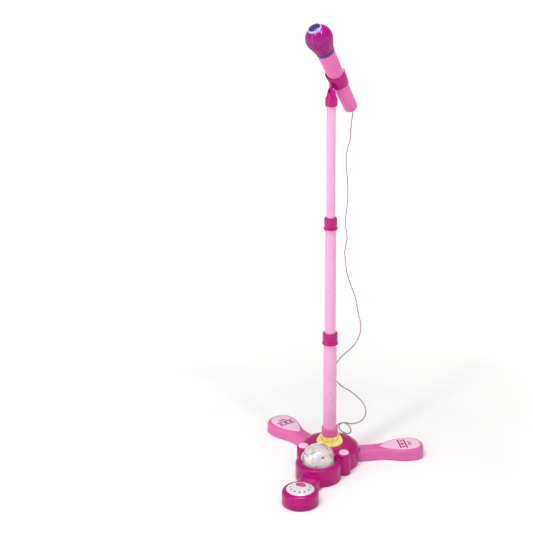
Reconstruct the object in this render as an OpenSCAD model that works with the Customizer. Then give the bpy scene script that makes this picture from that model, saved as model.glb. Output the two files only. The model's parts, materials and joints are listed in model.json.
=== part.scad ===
// Toy microphone on a telescopic stand with a light-up base.
// Millimetres, +Z up. The origin is on the floor, on the axis of the pole.
// The round front foot points towards -Y and the two legs point back to the sides.

/* [Base] */
// Diameter of the round hub under the pole
hub_d = 120; // [116:1:124]
// Height of the hub's top face above the floor
hub_h = 45.5; // [44:0.5:48]
// Distance from the pole to the middle of the light dome
dome_y = 71.5; // [70:0.5:74]
// Diameter of the lobe that carries the light dome
lobe_d = 93; // [90:1:94]
// Height of the dome lobe's rim
lobe_h = 38; // [37:0.5:39]
// Outer diameter of the clear dome
dome_d = 72; // [70:1:72]
// Distance from the pole to the middle of the front foot
foot_y = 180; // [178:1:184]
// Diameter of the front foot
foot_d = 73; // [71:1:75]
// Height of the front foot's rim
foot_h = 30; // [30:0.5:31]
// Wall thickness of the moulded shells
wall = 2.5; // [2:0.1:3]
// Thickness of the rubber pads under the base
pad_h = 1.5; // [1:0.1:2]

/* [Legs] */
// Distance from the pole to the tip of each leg
leg_tip = 200; // [190:1:205]
// Width of each leg at its broad end
leg_w = 62; // [56:1:66]
// Width of each leg where it meets the hub
leg_root_w = 32; // [28:1:34]
// Height of the legs
leg_h = 24.5; // [24:0.5:27]
// Angle of the right leg from the X axis
right_leg_angle = 30; // [28:0.5:34]
// Angle of the left leg from the -X axis
left_leg_angle = 34; // [30:0.5:36]

/* [Pole] */
// Outer diameter of the lower tube
lower_d = 27; // [27:0.1:27.2]
// Outer diameter of the middle tube
middle_d = 22.5; // [22.3:0.1:22.5]
// Outer diameter of the upper tube
upper_d = 18; // [17.8:0.1:18]
// Gap around a tube inside the next one
slide_gap = 0.3; // [0.3:0.05:0.4]
// Running clearance of lock rings, end bushes and pins
fit_gap = 0.05; // [0.03:0.01:0.08]
// Height of the underside of the lower collar
lower_collar_z = 265; // [260:1:275]
// Height of the underside of the upper collar
upper_collar_z = 506; // [500:1:516]
// Height of the underside of the swivelling neck
neck_z = 748.5; // [740:0.5:755]
// Height of a twist collar
collar_h = 24; // [23:0.5:26]

/* [Microphone] */
// Tilt of the microphone from upright
tilt = 33; // [30:1:36]
// Direction that the microphone leans towards, from the X axis
lean = 248; // [240:1:256]
// Diameter of the microphone's head
head_d = 51.4; // [50:0.2:53]
// Largest diameter of the handle
handle_d = 34; // [33:0.5:35]
// Diameter of the handle at its tail
tail_d = 27; // [26:0.5:28]
// Length of the handle
handle_len = 141.5; // [138:0.5:146]

/* [Cord] */
// Outer diameter of the microphone cord
cord_d = 2.4; // [2:0.1:3]

/* [Hidden] */

$fn = 96;
tiny = 0.01;
magenta = "#cf1a8c";
pink = "#ee8fc0";
pale = "#f7cfe4";
violet = "#5a62b0";

// base
hub_r = hub_d / 2;
lobe_r = lobe_d / 2;
foot_r = foot_d / 2;
floor_z = pad_h;
cover_t = 2.5;
cover_top = floor_z + cover_t;
edge_gap = 0.3;
hub_flat_r = 30;
post_r = 13.8;
post_h = 46;
post_x = 43.5;
post_y = 39.3;
neck_w = 42;
neck_h = 27;
button_r = 10;
panel_r = 27.6;
panel_rise = 8;
dome_r = dome_d / 2;
dome_z = lobe_h - 2;
ball_r = 30;
ball_z = 39.5;
ring_r = 27.7;
ring_top_r = 18.8;
ring_top = 62;
collar_r = 17;
socket_r = 16.4;
boss_r = 4;
pad_r = 3.5;
pilot_r = 1.35;
screw_r = 1.3;
screw_head_r = 2.5;
jack_r = 1.8;
jack_z = 17;
gland_y = 40;
battery_l = 50.5;
battery_r = 7.25;
door_w = 62;
door_d = 50;

// cover screws: each one's place and the height that its boss may reach
screw_spots = [
  [30, 42, 60], [-30, 42, 60], [52, -6, 60], [-52, -6, 60],
  [37.6, -86, 23], [-37.6, -86, 23], [0, -210.3, 27]
];

// pole
lower_r = lower_d / 2;
middle_r = middle_d / 2;
upper_r = upper_d / 2;
lower_bore = middle_r + slide_gap;
middle_bore = upper_r + slide_gap;
upper_bore = upper_r - 2;
lower_bottom = 6;
lower_top = lower_collar_z + collar_h - 8;
middle_bottom = lower_collar_z - 15;
middle_top = upper_collar_z + collar_h - 8;
upper_bottom = upper_collar_z - 16;
upper_top = neck_z + 16.5;
bush_h = 6;
lock_ring_h = 5;

// neck and clip, with the tilt pivot on the axis of the pole
pivot_z = neck_z + 32.5;
pin_r = 1.5;
tongue_t = 4;
fork_gap = 4.6;
eye_r = 4.2;
axis_gap = 24.3;
clip_rise = 5;
sleeve_low = -15;
sleeve_mid = 13.6;
sleeve_high = 20;
sleeve_t = 1.8;
rim_slope = 0.25;
rim_turn = -100;

// microphone, along its own axis from the middle of the clip
handle_r = handle_d / 2;
tail_r = tail_d / 2;
handle_top = 63;
tail_end = handle_top - handle_len;
tail_round = 6;
head_r = head_d / 2;
head_z = 97;
ring_h = 5.5;
grille_base = handle_top + ring_h;
grille_base_r = 17;
cap_r = 13.2;
grille_t = 1.6;

// turns a point of the microphone's own frame into the stand's frame
function turned(p) =
  let (x = p[0] * cos(tilt) + p[2] * sin(tilt), z = p[2] * cos(tilt) - p[0] * sin(tilt))
  [x * cos(lean) - p[1] * sin(lean), x * sin(lean) + p[1] * cos(lean), z];
function at_mic(p) = turned(p + [-axis_gap, 0, clip_rise]) + [0, 0, pivot_z];

// route of the cord, from the hub's gland up to the tail of the microphone
route_base = [
  [0, gland_y, 47], [0, gland_y, 52], [0.5, 41, 57], [3, 42.5, 62.5], [8, 44, 67],
  [15, 45, 69], [23, 45, 67.5], [29.5, 44.5, 61.5], [31.5, 46, 54], [28.5, 50, 46],
  [20, 53, 41.5], [12, 53, 43], [5.5, 52, 49], [3.5, 51.5, 57], [8, 52, 63.5],
  [17, 52, 66.5], [28, 52, 66]
];
route_lower = [
  [28, 52, 66], [38, 53, 68], [49, 54, 74], [57, 54.5, 83], [61, 54, 97], [59, 52, 111],
  [52, 49, 124], [41, 44.5, 137], [30, 40, 147], [17, 34.5, 156], [7, 30, 167],
  [0.5, 27, 180], [0, 26, 193], [3, 27, 206], [9, 30, 218], [19, 34, 230],
  [29, 38, 240], [38, 42, 251], [45, 46, 265], [49, 48, 282], [48, 48, 300]
];
route_middle = [
  [48, 48, 300], [44, 47, 316], [41, 46.5, 335], [37, 46, 353], [31, 44, 371],
  [25, 42, 389], [21, 41, 404], [18.5, 41, 420], [17, 41, 434], [16, 41, 448],
  [18, 42, 462], [20, 43, 476], [18.5, 43, 490], [16, 43, 503], [16.5, 44.5, 520],
  [18, 46, 538]
];
route_upper = [
  [18, 46, 538], [19, 47, 555], [19, 48, 573], [18, 49, 590]
];
route_tilt = [
  [18, 49, 590], [16, 50, 606], [14.5, 50.5, 622], [14, 51, 637], [16, 53, 655]
];
route_mic = [
  [16, 53, 655], [20, 55.3, 672], [21, 57, 690], [22, 58.3, 708],
  at_mic([0, 0, tail_end - 6.5]), at_mic([0, 0, tail_end - 2.5])
];

// ---------- shapes shared by several parts ----------

// points of a quarter ellipse from [x0, y1] round to [x1, y0]
function crown(x0, y0, x1, y1, steps = 12) = [
  for (i = [0:steps]) let (a = 90 * i / steps)
    [x0 + (x1 - x0) * sin(a), y0 + (y1 - y0) * cos(a)]
];

// points of a circular arc
function arc(cx, cy, r, a0, a1, steps = 12) = [
  for (i = [0:steps]) let (a = a0 + (a1 - a0) * i / steps)
    [cx + r * cos(a), cy + r * sin(a)]
];

// round block with a softly rounded top edge
module drum(r, h, flat, side, z0 = floor_z) {
  rotate_extrude()
    polygon(concat([[0, z0], [0, h]], crown(flat, side, r, h), [[r, z0]]));
}

module ring(r_out, r_in, z0, z1) {
  translate([0, 0, z0]) difference() {
    cylinder(r = r_out, h = z1 - z0);
    translate([0, 0, -1]) cylinder(r = r_in, h = z1 - z0 + 2);
  }
}

module disc(r, z0, z1) {
  translate([0, 0, z0]) cylinder(r = r, h = z1 - z0);
}

module at_posts() {
  for (side = [-1, 1]) translate([side * post_x, -post_y, 0]) children();
}

module at_screws() {
  for (spot = screw_spots) translate([spot[0], spot[1], 0]) children();
}

module at_dome() { translate([0, -dome_y, 0]) children(); }
module at_foot() { translate([0, -foot_y, 0]) children(); }

// places a part drawn along +X at a leg: side 1 is +X, side -1 is -X
module at_leg(side) {
  rotate([0, 0, side > 0 ? right_leg_angle : 180 - left_leg_angle]) children();
}

// ---------- base ----------

// outer form of the base shell, or its inside when inset is a wall thickness
module base_form(inset = 0, z0 = floor_z) {
  drum(hub_r - inset, hub_h - inset, hub_flat_r - inset, hub_h - 11.5 - inset, z0);
  at_dome()
    drum(lobe_r - inset, lobe_h - inset, dome_r + 2.5 - inset, lobe_h - 6 - inset, z0);
  at_foot()
    drum(foot_r - inset, foot_h - inset, panel_r + 1 - inset, foot_h - 7 - inset, z0);
  at_posts()
    drum(post_r - inset, post_h - inset, button_r + 0.8, post_h - 2.5 - inset, z0);
  translate([0, -dome_y, 0]) rotate([90, 0, 0])
    linear_extrude(foot_y - dome_y) neck_section(inset, z0);
}

// arched cross-section of the neck between the dome lobe and the front foot
module neck_section(inset, z0) {
  half = neck_w / 2 - inset;
  top = neck_h - inset;
  polygon(concat(
    [[-half, z0], [half, z0]],
    [for (i = [0:12]) let (a = 90 * i / 12)
      [half - 9 + 9 * cos(a), top - 9 + 9 * sin(a)]],
    [for (i = [0:12]) let (a = 90 + 90 * i / 12)
      [9 - half + 9 * cos(a), top - 9 + 9 * sin(a)]]
  ));
}

module hub_shell() {
  color(magenta) {
    difference() {
      base_form();
      base_form(wall, -1);
      // way through for the pole socket, and the light well around it
      disc(ring_r - 3.5, 30, 60);
      at_dome() disc(dome_r + edge_gap, 20, 60);
      at_foot() disc(panel_r - 2.5, 15, 60);
      at_foot() disc(panel_r + 0.2, foot_h - 1.6, 60);
      at_posts() disc(button_r + edge_gap, 30, 60);
      for (side = [-1, 1]) at_leg(side) leg_slot();
      translate([0, 0, jack_z]) rotate([-90, 0, 0]) cylinder(r = jack_r, h = hub_r + 5);
      translate([0, gland_y, 20]) cylinder(r = 3.2, h = 40);
    }
    difference() {
      intersection() {
        base_form(tiny);
        union() {
          for (spot = screw_spots) translate([spot[0], spot[1], 0]) disc(boss_r, 6, spot[2]);
          at_dome() for (a = [30, 150, 270]) rotate([0, 0, a])
            translate([dome_r + 5, 0, 0]) disc(2.4, 25.6, 60);
        }
      }
      at_screws() disc(pilot_r, 0, 18);
    }
  }
}

// slot in the hub's side that takes a leg's key
module leg_slot() {
  translate([hub_r - 8, -5.2, 0]) cube([16, 10.4, 19.2]);
}

module base_outline(inset) {
  circle(r = hub_r - inset);
  translate([0, -dome_y]) circle(r = lobe_r - inset);
  translate([0, -foot_y]) circle(r = foot_r - inset);
  translate([-neck_w / 2 + inset, -foot_y]) square([neck_w - 2 * inset, foot_y - dome_y]);
  for (side = [-1, 1]) translate([side * post_x, -post_y]) circle(r = post_r - inset);
}

module base_cover() {
  color(magenta) difference() {
    union() {
      translate([0, 0, floor_z]) linear_extrude(cover_t) base_outline(wall + edge_gap);
      at_screws() disc(pad_r, floor_z + tiny, 6);
      at_posts() ring(4, 2, cover_top - tiny, 30);
      at_foot() ring(26, 24.4, cover_top - tiny, 19.4);
      for (x = [-24, 24]) translate([x, 26, 0]) ring(3, 1, cover_top - tiny, 11);
      for (x = [-30.5, 30.5]) translate([x - 1, -dome_y - 24, cover_top - tiny])
        cube([2, 48, 6]);
    }
    at_screws() disc(1.6, 0, 9);
    at_screws() disc(screw_head_r + 0.2, 0, 4);
    at_dome() translate([-door_w / 2 + 3, -door_d / 2 + 3, 0])
      cube([door_w - 6, door_d - 6, 8]);
    at_dome() translate([-door_w / 2, -door_d / 2, 0])
      cube([door_w, door_d, floor_z + 1.3]);
    for (side = [-1, 1]) at_leg(side) translate([hub_r - 9, -10, 0]) cube([20, 20, 9]);
  }
}

module battery_door() {
  color(magenta) at_dome() difference() {
    translate([-door_w / 2 + 0.3, -door_d / 2 + 0.3, floor_z])
      cube([door_w - 0.6, door_d - 0.6, 1.3]);
    for (i = [-2:2]) translate([14, i * 3 - 0.6, floor_z - 0.5]) cube([10, 1.2, 1]);
  }
}

module battery_cells() {
  color("#3f6fb5") at_dome() for (i = [-1:1]) translate([-battery_l / 2, i * 15.2, 12])
    rotate([0, 90, 0]) union() {
      cylinder(r = battery_r, h = battery_l - 1.4);
      cylinder(r = 2.7, h = battery_l);
    }
}

module battery_contacts() {
  color("silver") at_dome() for (side = [-1, 1]) for (i = [-1:1])
    translate([side * 27.6, i * 15.2, 12]) {
      translate([side * 0.9 - 0.3, -6, -6.5]) cube([0.6, 12, 13]);
      rotate([0, 90, 0]) translate([0, 0, side > 0 ? -2.2 : -0.8]) cylinder(r = 3.2, h = 3);
    }
}

module main_board() {
  color("#1f7a4a") difference() {
    union() {
      translate([0, 0, 11]) linear_extrude(1.6) difference() {
        intersection() {
          circle(r = 54);
          translate([-36, 19]) square([72, 33]);
        }
        for (x = [-30, 30]) translate([x, 42]) circle(r = 5.5);
      }
      // chips and capacitors
      translate([-14, 26, 12.5]) cube([12, 8, 2.2]);
      translate([8, 28, 12.5]) cube([9, 6, 2]);
      for (i = [0:3]) translate([-21 + i * 4.6, 41, 12.5]) cylinder(r = 2, h = 6);
    }
    for (x = [-24, 24]) translate([x, 26, 0]) cylinder(r = 1, h = 30);
  }
}

module aux_jack() {
  color("#303030") difference() {
    translate([-5.5, hub_r - 14.5, 12.6]) cube([11, 11, 9]);
    translate([0, hub_r - 15, jack_z]) rotate([-90, 0, 0]) cylinder(r = jack_r, h = 15);
  }
}

module speaker_frame() {
  color("#4a4a4a") at_foot() difference() {
    union() {
      disc(25, 19.4, 21);
      translate([0, 0, 10]) cylinder(r1 = 13, r2 = 24, h = 9.41);
      disc(13, 8.5, 10.01);
    }
    translate([0, 0, 11.2]) cylinder(r1 = 10.5, r2 = 23, h = 10);
    disc(8, 8, 12);
  }
}

module speaker_cone() {
  color("#262626") at_foot() rotate_extrude()
    polygon([[0, 13.6], [7, 13.2], [8, 12.6], [19.2, 18.6], [21.6, 20.6], [21.6, 21],
      [18.8, 19.8], [8, 13.6], [5, 15], [0, 15.8]]);
}

module speaker_magnet() {
  color("#8d8d92") at_foot() disc(11, 4.4, 8.4);
}

// domed silver plate with a ring of sound holes and an oval opening
module speaker_panel() {
  sphere_r = (panel_r * panel_r + panel_rise * panel_rise) / (2 * panel_rise);
  color("#d9dade") at_foot() difference() {
    rotate_extrude() polygon(concat(
      [for (i = [0:16]) let (x = panel_r * i / 16)
        [x, foot_h + panel_rise - sphere_r + sqrt(sphere_r * sphere_r - x * x)]],
      [[panel_r, foot_h - 1.4]],
      [for (i = [0:16]) let (x = (panel_r - 1) * (16 - i) / 16)
        [x, foot_h + panel_rise - 1.5 - sphere_r + sqrt(sphere_r * sphere_r - x * x)]]
    ));
    for (i = [0:11]) rotate([0, 0, i * 30 + 15])
      translate([19.5, 0, 20]) cylinder(r = 2, h = 30, $fn = 24);
    translate([0, 3, 20]) linear_extrude(30) oval(10.6, 7.6);
  }
}

module oval(a, b) {
  polygon([for (i = [0:47]) [a * cos(i * 7.5), b * sin(i * 7.5)]]);
}

module mode_button() {
  color("#e23a9c") at_foot() translate([0, 3, 0]) {
    translate([0, 0, 34.5]) linear_extrude(4.5) oval(10.1, 7.1);
    translate([0, 0, 33.4]) linear_extrude(1.2) oval(11.8, 8.8);
    disc(2, 28, 33.5);
  }
}

module mode_switch() {
  color("#2c2c30") at_foot() {
    translate([-24, -4, 21]) cube([48, 14, 1.4]);
    translate([-3, 0, 22.39]) cube([6, 6, 3.2]);
    translate([0, 3, 0]) disc(1.5, 25.5, 26.8);
  }
}

module dome_cover() {
  inner_r = dome_r - 1.6;
  flange_r = dome_r + 2.2;
  flange_top = lobe_h - wall - 0.4;
  flange_low = flange_top - 2;
  color([0.95, 0.97, 1, 0.35]) at_dome() rotate_extrude()
    polygon(concat(
      [[inner_r, flange_low], [flange_r, flange_low]],
      [[flange_r, flange_top], [dome_r, flange_top]],
      arc(0, dome_z, dome_r, 0, 90, 30),
      arc(0, dome_z, inner_r, 90, 0, 30)
    ));
}

module crystal_ball() {
  color("#f4f6ff") at_dome() difference() {
    intersection() {
      translate([0, 0, ball_z]) sphere(r = ball_r);
      disc(40, 29, 80);
    }
    intersection() {
      translate([0, 0, ball_z]) sphere(r = ball_r - 1.6);
      disc(40, 30.6, 80);
    }
    disc(1, 20, 36);
    for (i = [0:5]) rotate([0, 0, i * 60]) translate([11, 0, 0]) disc(3, 26, 32);
  }
}

module ball_shaft() {
  color("silver") at_dome() disc(1, 22, 34);
}

module ball_motor() {
  color("#b8b8bd") at_dome() difference() {
    union() {
      disc(8, 20, 26.4);
      disc(3, 26.39, 27.4);
    }
    disc(1 + fit_gap, 21.5, 30);
  }
}

module dome_board() {
  color("white") at_dome() ring(42.2, 8.2, 24, 25.5);
}

module ring_board() {
  color("white") ring(28.5, socket_r + 0.2, 38, 39.4);
}

// light-emitting lamps: eight under the clear ring and six under the crystal ball
module lamps() {
  color("#fff6c8") {
    for (i = [0:7]) rotate([0, 0, i * 45 + 22.5]) translate([20.6, 0, 0]) lamp(39.4);
    at_dome() for (i = [0:5]) rotate([0, 0, i * 60 + 30]) translate([14, 0, 0]) lamp(25.5, 2.6);
  }
}

module lamp(z, h = 4.5) {
  disc(1.5, z, z + h - 1.5);
  translate([0, 0, z + h - 1.5]) intersection() {
    sphere(r = 1.5, $fn = 24);
    disc(2, 0, 3);
  }
}

// clear prismatic crown around the foot of the pole
module light_ring() {
  color([1, 0.9, 0.45, 0.6]) difference() {
    rotate_extrude() polygon([
      [socket_r + 0.2, hub_h], [ring_r, hub_h], [ring_r, hub_h + 2.5],
      [ring_top_r + 1.2, ring_top - 1], [ring_top_r, ring_top], [socket_r + 0.2, ring_top]
    ]);
    rotate_extrude() polygon([
      [socket_r + 2, hub_h - 1], [ring_r - 3, hub_h - 1], [ring_r - 3, hub_h + 1.5],
      [ring_top_r - 0.4, ring_top - 3], [socket_r + 2, ring_top - 3]
    ]);
  }
}

module pole_socket() {
  color("white") difference() {
    union() {
      disc(21, cover_top, lower_bottom);
      disc(socket_r, lower_bottom - tiny, ring_top);
    }
    disc(lower_r + fit_gap, lower_bottom, ring_top + 1);
  }
}

module base_collar() {
  color(pink) rotate_extrude() polygon(concat(
    [[lower_r + 0.1, ring_top], [collar_r - 0.6, ring_top], [collar_r, ring_top + 0.8]],
    arc(collar_r - 1.4, ring_top + 16.4, 1.4, 0, 90, 6),
    [[lower_r + 0.1, ring_top + 17.8]]
  ));
}

module button(side) {
  color(pale) translate([side * post_x, -post_y, 0]) {
    drum(button_r, post_h + 4.2, button_r - 4, post_h + 1.8, 42.9);
    disc(button_r + 0.9, 40.4, 43);
    disc(2.5, 38, 40.5);
  }
}

module left_button() { button(-1); }
module right_button() { button(1); }

module button_switches() {
  color("#2c2c30") at_posts() {
    disc(6.5, 30, 31.4);
    translate([-3, -3, 31.39]) cube([6, 6, 2.8]);
    disc(1.5, 34.1, 35.8);
  }
}

// ---------- legs ----------

// half of the leg's width at a distance x from the pole
function leg_half(x) =
  let (
    root = leg_root_w / 2,
    swell = min(1, max(0, (x - 102) / 61)),
    full = root + (leg_w / 2 - root) * (3 * swell * swell - 2 * swell * swell * swell),
    tip = min(1, max(0, (x - 168) / (leg_tip - 168)))
  )
  full * pow(max(0, 1 - pow(tip, 3)), 0.6);

module leg_outline(inset, start) {
  stations = [for (i = [0:36]) start + (leg_tip - inset - start) * (1 - pow(1 - i / 36, 1.6))];
  scale_x = (leg_tip - start) / (leg_tip - inset - start);
  polygon(concat(
    [for (x = stations) [x, -max(0, leg_half(start + (x - start) * scale_x) - inset)]],
    [for (i = [35:-1:0]) let (x = stations[i])
      [x, max(0, leg_half(start + (x - start) * scale_x) - inset)]]
  ));
}

module leg(side) {
  start = hub_r - 4;
  color(pink) at_leg(side) {
    difference() {
      union() {
        translate([0, 0, floor_z]) linear_extrude(leg_h - floor_z - 2.4) leg_outline(0, start);
        translate([0, 0, floor_z]) linear_extrude(leg_h - floor_z - 1.2) leg_outline(0.7, start);
        translate([0, 0, floor_z]) linear_extrude(leg_h - floor_z) leg_outline(2.2, start);
      }
      // hollow underside
      translate([0, 0, -1]) linear_extrude(leg_h - 1.6) leg_outline(2.4, hub_r + 3);
      // the end fits round the hub
      disc(hub_r + 0.1, -1, 60);
      translate([0, 0, leg_h - 0.8]) linear_extrude(3) label_outline(0.15);
    }
    leg_key();
    for (x = [112, 168]) translate([x, 0, 0]) ring(5.5, 3, floor_z, leg_h - 2);
    translate([140, 0, 0]) disc(2, floor_z, leg_h - 2);
  }
}

// T-shaped key that locks the leg into the hub's side
module leg_key() {
  translate([hub_r - wall - 1.1, -5, floor_z]) cube([8, 10, 17]);
  translate([hub_r - wall - 3.6, -8, floor_z]) cube([2.6, 16, 17]);
}

// leaf-shaped plate on the broad end of a leg: pointed at the root, squarer at the end
function leaf_half(t) =
  let (
    rise = t < 0.6 ? pow(sin(150 * t), 0.8) : 1,
    fall = t < 0.6 ? 1 : sqrt(max(0, 1 - pow((t - 0.6) / 0.4, 4)))
  )
  (leg_w / 2 - 7) * rise * fall;

module label_outline(grow = 0) {
  steps = 30;
  x0 = 106 - grow;
  x1 = leg_tip - 8 + grow;
  pts = [for (i = [0:steps]) let (t = i / steps) [x0 + (x1 - x0) * t, leaf_half(t) + grow]];
  polygon(concat(pts, [for (i = [steps:-1:0]) [pts[i][0], -pts[i][1]]]));
}

module label(side) {
  color(pale) at_leg(side) translate([0, 0, leg_h - 0.8]) linear_extrude(1.8) label_outline();
}

module left_leg() { leg(-1); }
module right_leg() { leg(1); }
module left_label() { label(-1); }
module right_label() { label(1); }

module rubber_feet() {
  color("#3a3a3a") {
    disc(10, 0, floor_z);
    for (x = [-46, 46]) translate([x, 14, 0]) disc(5, 0, floor_z);
    translate([0, 48, 0]) disc(5, 0, floor_z);
    for (x = [-38, 38]) at_dome() translate([x, 0, 0]) disc(3.5, 0, floor_z);
    at_foot() translate([0, 8, 0]) disc(8, 0, floor_z);
    for (side = [-1, 1]) at_leg(side) for (x = [112, 168]) translate([x, 0, 0]) {
      disc(5.5, 0, floor_z);
      disc(2.9, floor_z - tiny, 8);
    }
  }
}

module cover_screws() {
  color("silver") at_screws() difference() {
    union() {
      disc(screw_head_r, 2.2, 4);
      disc(screw_r, 3.9, 15);
    }
    translate([-1.8, -0.35, 1]) cube([3.6, 0.7, 2]);
    translate([-0.35, -1.8, 1]) cube([0.7, 3.6, 2]);
  }
}

// ---------- pole ----------

module lower_tube() { color(pink) ring(lower_r, lower_bore, lower_bottom, lower_top); }
module middle_tube() { color(pink) ring(middle_r, middle_bore, middle_bottom, middle_top); }
module upper_tube() { color(pink) ring(upper_r, upper_bore, upper_bottom, upper_top); }

// end bush that guides the lower end of a tube
module bush(r, bore, z) {
  color("white") difference() {
    union() {
      disc(r, z - bush_h, z);
      disc(bore - fit_gap, z - tiny, z + 5);
    }
    disc(bore - 2.2, z - bush_h - 1, z + 6);
  }
}

module middle_bush() { bush(lower_bore - fit_gap, middle_bore, middle_bottom); }
module upper_bush() { bush(middle_bore - fit_gap, upper_bore, upper_bottom); }

// split ring that grips the sliding tube when its collar is tightened
module lock_ring(r_in, r_out, z) {
  color("white") difference() {
    ring(r_out, r_in, z, z + lock_ring_h);
    translate([0, -1.5, z - 1]) cube([r_out + 2, 3, lock_ring_h + 2]);
  }
}

module lower_lock_ring() { lock_ring(middle_r + fit_gap, lower_r - 0.3, lower_top + 0.2); }
module upper_lock_ring() { lock_ring(upper_r + fit_gap, middle_r - 0.3, middle_top + 0.2); }

// twist collar with a flared skirt and an inner lip over the lock ring
module twist_collar(tube_r, inner_r, z) {
  body = tube_r + 1.7;
  color(magenta) rotate_extrude() polygon(concat(
    [[tube_r + 0.3, z], [body + 1, z], [body + 1.6, z + 0.7], [body + 1.6, z + 2],
     [body + 0.9, z + 3.2], [body + 0.2, z + 4.4], [body, z + 6]],
    arc(body - 1.2, z + collar_h - 1.2, 1.2, 0, 90, 6),
    [[inner_r + 0.4, z + collar_h], [inner_r + 0.4, z + collar_h - 2.4],
     [tube_r + 0.3, z + collar_h - 2.4]]
  ));
}

module lower_collar() { twist_collar(lower_r, middle_r, lower_collar_z); }
module upper_collar() { twist_collar(middle_r, upper_r, upper_collar_z); }

// ---------- neck, clip and microphone ----------

// turns a shape's X axis to the plane in which the microphone tilts
module at_lean() { rotate([0, 0, lean]) children(); }

// origin at the middle of the clip, +Z along the microphone, +X towards the pivot
module mic_frame() {
  translate([0, 0, pivot_z]) at_lean() rotate([0, tilt, 0])
    translate([-axis_gap, 0, clip_rise]) children();
}

// fork that plugs on the upper tube and carries the tilt pin
module neck() {
  color(magenta) at_lean() difference() {
    rotate_extrude() polygon(concat(
      [[0, neck_z], [11, neck_z], [11.7, neck_z + 0.8], [11.9, neck_z + 3], [12, neck_z + 13]],
      arc(9.6, neck_z + 15.5, 2.4, 0, 60, 5),
      [[9.4, neck_z + 19], [8.9, neck_z + 21], [8.5, neck_z + 23.5], [5.6, neck_z + 33.5]],
      arc(2.6, neck_z + 34, 3, 0, 90, 6),
      [[0, neck_z + 37]]
    ));
    disc(upper_r + fit_gap, neck_z - 1, upper_top + 0.3);
    // slot between the two ears
    translate([-15, -fork_gap / 2, pivot_z - 7]) cube([30, fork_gap, 20]);
    translate([0, -12, pivot_z]) rotate([-90, 0, 0]) cylinder(r = pin_r, h = 24);
  }
}

module tilt_pin() {
  color("silver") translate([0, 0, pivot_z]) at_lean() rotate([-90, 0, 0])
    translate([0, 0, -5.4]) cylinder(r = pin_r, h = 10.8);
}

function sleeve_at(s) = 15.45 + (s - sleeve_low) * 0.062;

// open tapered cradle with a slanted rim, on a lug with the pivot's eye
module clip() {
  color(magenta) mic_frame() {
    difference() {
      rotate_extrude() polygon([
        [sleeve_at(sleeve_low), sleeve_low],
        [sleeve_at(sleeve_low) + sleeve_t, sleeve_low],
        [sleeve_at(sleeve_high) + sleeve_t, sleeve_high],
        [sleeve_at(sleeve_high), sleeve_high]
      ]);
      // slanted rim
      rotate([0, 0, rim_turn]) translate([0, 0, sleeve_mid])
        rotate([0, -atan(rim_slope), 0]) translate([-40, -40, 0]) cube([80, 80, 40]);
      // mouth on the far side from the pivot
      translate([-40, -7, -40]) cube([40, 14, 90]);
    }
    difference() {
      union() {
        translate([axis_gap, 0, -clip_rise]) rotate([90, 0, 0])
          translate([0, 0, -tongue_t / 2]) cylinder(r = eye_r, h = tongue_t);
        rotate([90, 0, 0]) translate([0, 0, -tongue_t / 2]) linear_extrude(tongue_t) polygon([
          [sleeve_at(-12) + 0.4, -12], [axis_gap + 0.6, -clip_rise - eye_r + 0.05],
          [axis_gap + 3.6, -clip_rise + 2.2], [sleeve_at(11) + 1.2, 12]
        ]);
      }
      translate([axis_gap, 8, -clip_rise]) rotate([90, 0, 0])
        cylinder(r = pin_r + fit_gap, h = 16);
    }
  }
}

module mic_handle() {
  color(pink) mic_frame() difference() {
    rotate_extrude() polygon(concat(
      [[0, tail_end]],
      arc(tail_r - tail_round, tail_end + tail_round, tail_round, -90, 0, 8),
      [[handle_r, handle_top], [0, handle_top]]
    ));
    rotate_extrude() polygon([
      [0, tail_end + 3], [tail_r - 4, tail_end + 3], [tail_r - 1.8, tail_end + 6],
      [handle_r - 2, handle_top + tiny], [0, handle_top + tiny]
    ]);
    translate([0, 0, tail_end - 1]) cylinder(r = 2.6, h = 8);
  }
}

module mic_ring() {
  color(violet) mic_frame() rotate_extrude() polygon([
    [handle_r - 5, handle_top - 6], [handle_r - 2.3, handle_top - 6], [handle_r - 2.3, handle_top],
    [handle_r + 0.1, handle_top], [handle_r + 0.4, handle_top + 1], [handle_r + 0.5, handle_top + 4],
    [handle_r + 0.2, grille_base], [handle_r - 5, grille_base]
  ]);
}

// angle at which the head's cone leaves its sphere
head_reach = norm([grille_base_r, head_z - grille_base]);
head_turn = acos(head_r / head_reach) - atan((head_z - grille_base) / grille_base_r);

module mic_grille() {
  top = acos(cap_r / head_r);
  color([0.75, 0.1, 0.55, 0.85]) mic_frame() difference() {
    rotate_extrude() polygon(concat(
      [[0, grille_base], [grille_base_r, grille_base]],
      arc(0, head_z, head_r, head_turn, top, 24),
      [[0, head_z + head_r * sin(top)]]
    ));
    rotate_extrude() polygon(concat(
      [[0, grille_base - 1], [grille_base_r - grille_t, grille_base - 1],
       [grille_base_r - grille_t, grille_base + 0.1]],
      arc(0, head_z, head_r - grille_t, head_turn, top, 24),
      [[cap_r - 0.6, head_z + 40], [0, head_z + 40]]
    ));
  }
}

// domed end cap in the opening of the head
module mic_cap() {
  seat = head_z + sqrt(head_r * head_r - cap_r * cap_r);
  color(violet) mic_frame() rotate_extrude() polygon(concat(
    [[0, seat + 6]],
    crown(7, seat + 1.6, cap_r + 0.3, seat + 5.2, 8),
    [[cap_r + 0.3, seat], [cap_r - 1, seat], [cap_r - 1, seat - 2.6], [0, seat - 2.6]]
  ));
}

module mic_foam() {
  foam_r = head_r - grille_t - 0.5;
  color("#7a2f86") mic_frame() difference() {
    translate([0, 0, head_z]) sphere(r = foam_r);
    translate([0, 0, head_z]) sphere(r = foam_r - 3);
    translate([0, 0, head_z - foam_r - 1]) cylinder(r = 40, h = foam_r - 12);
    translate([0, 0, head_z + 18.5]) cylinder(r = 40, h = 20);
  }
}

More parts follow.
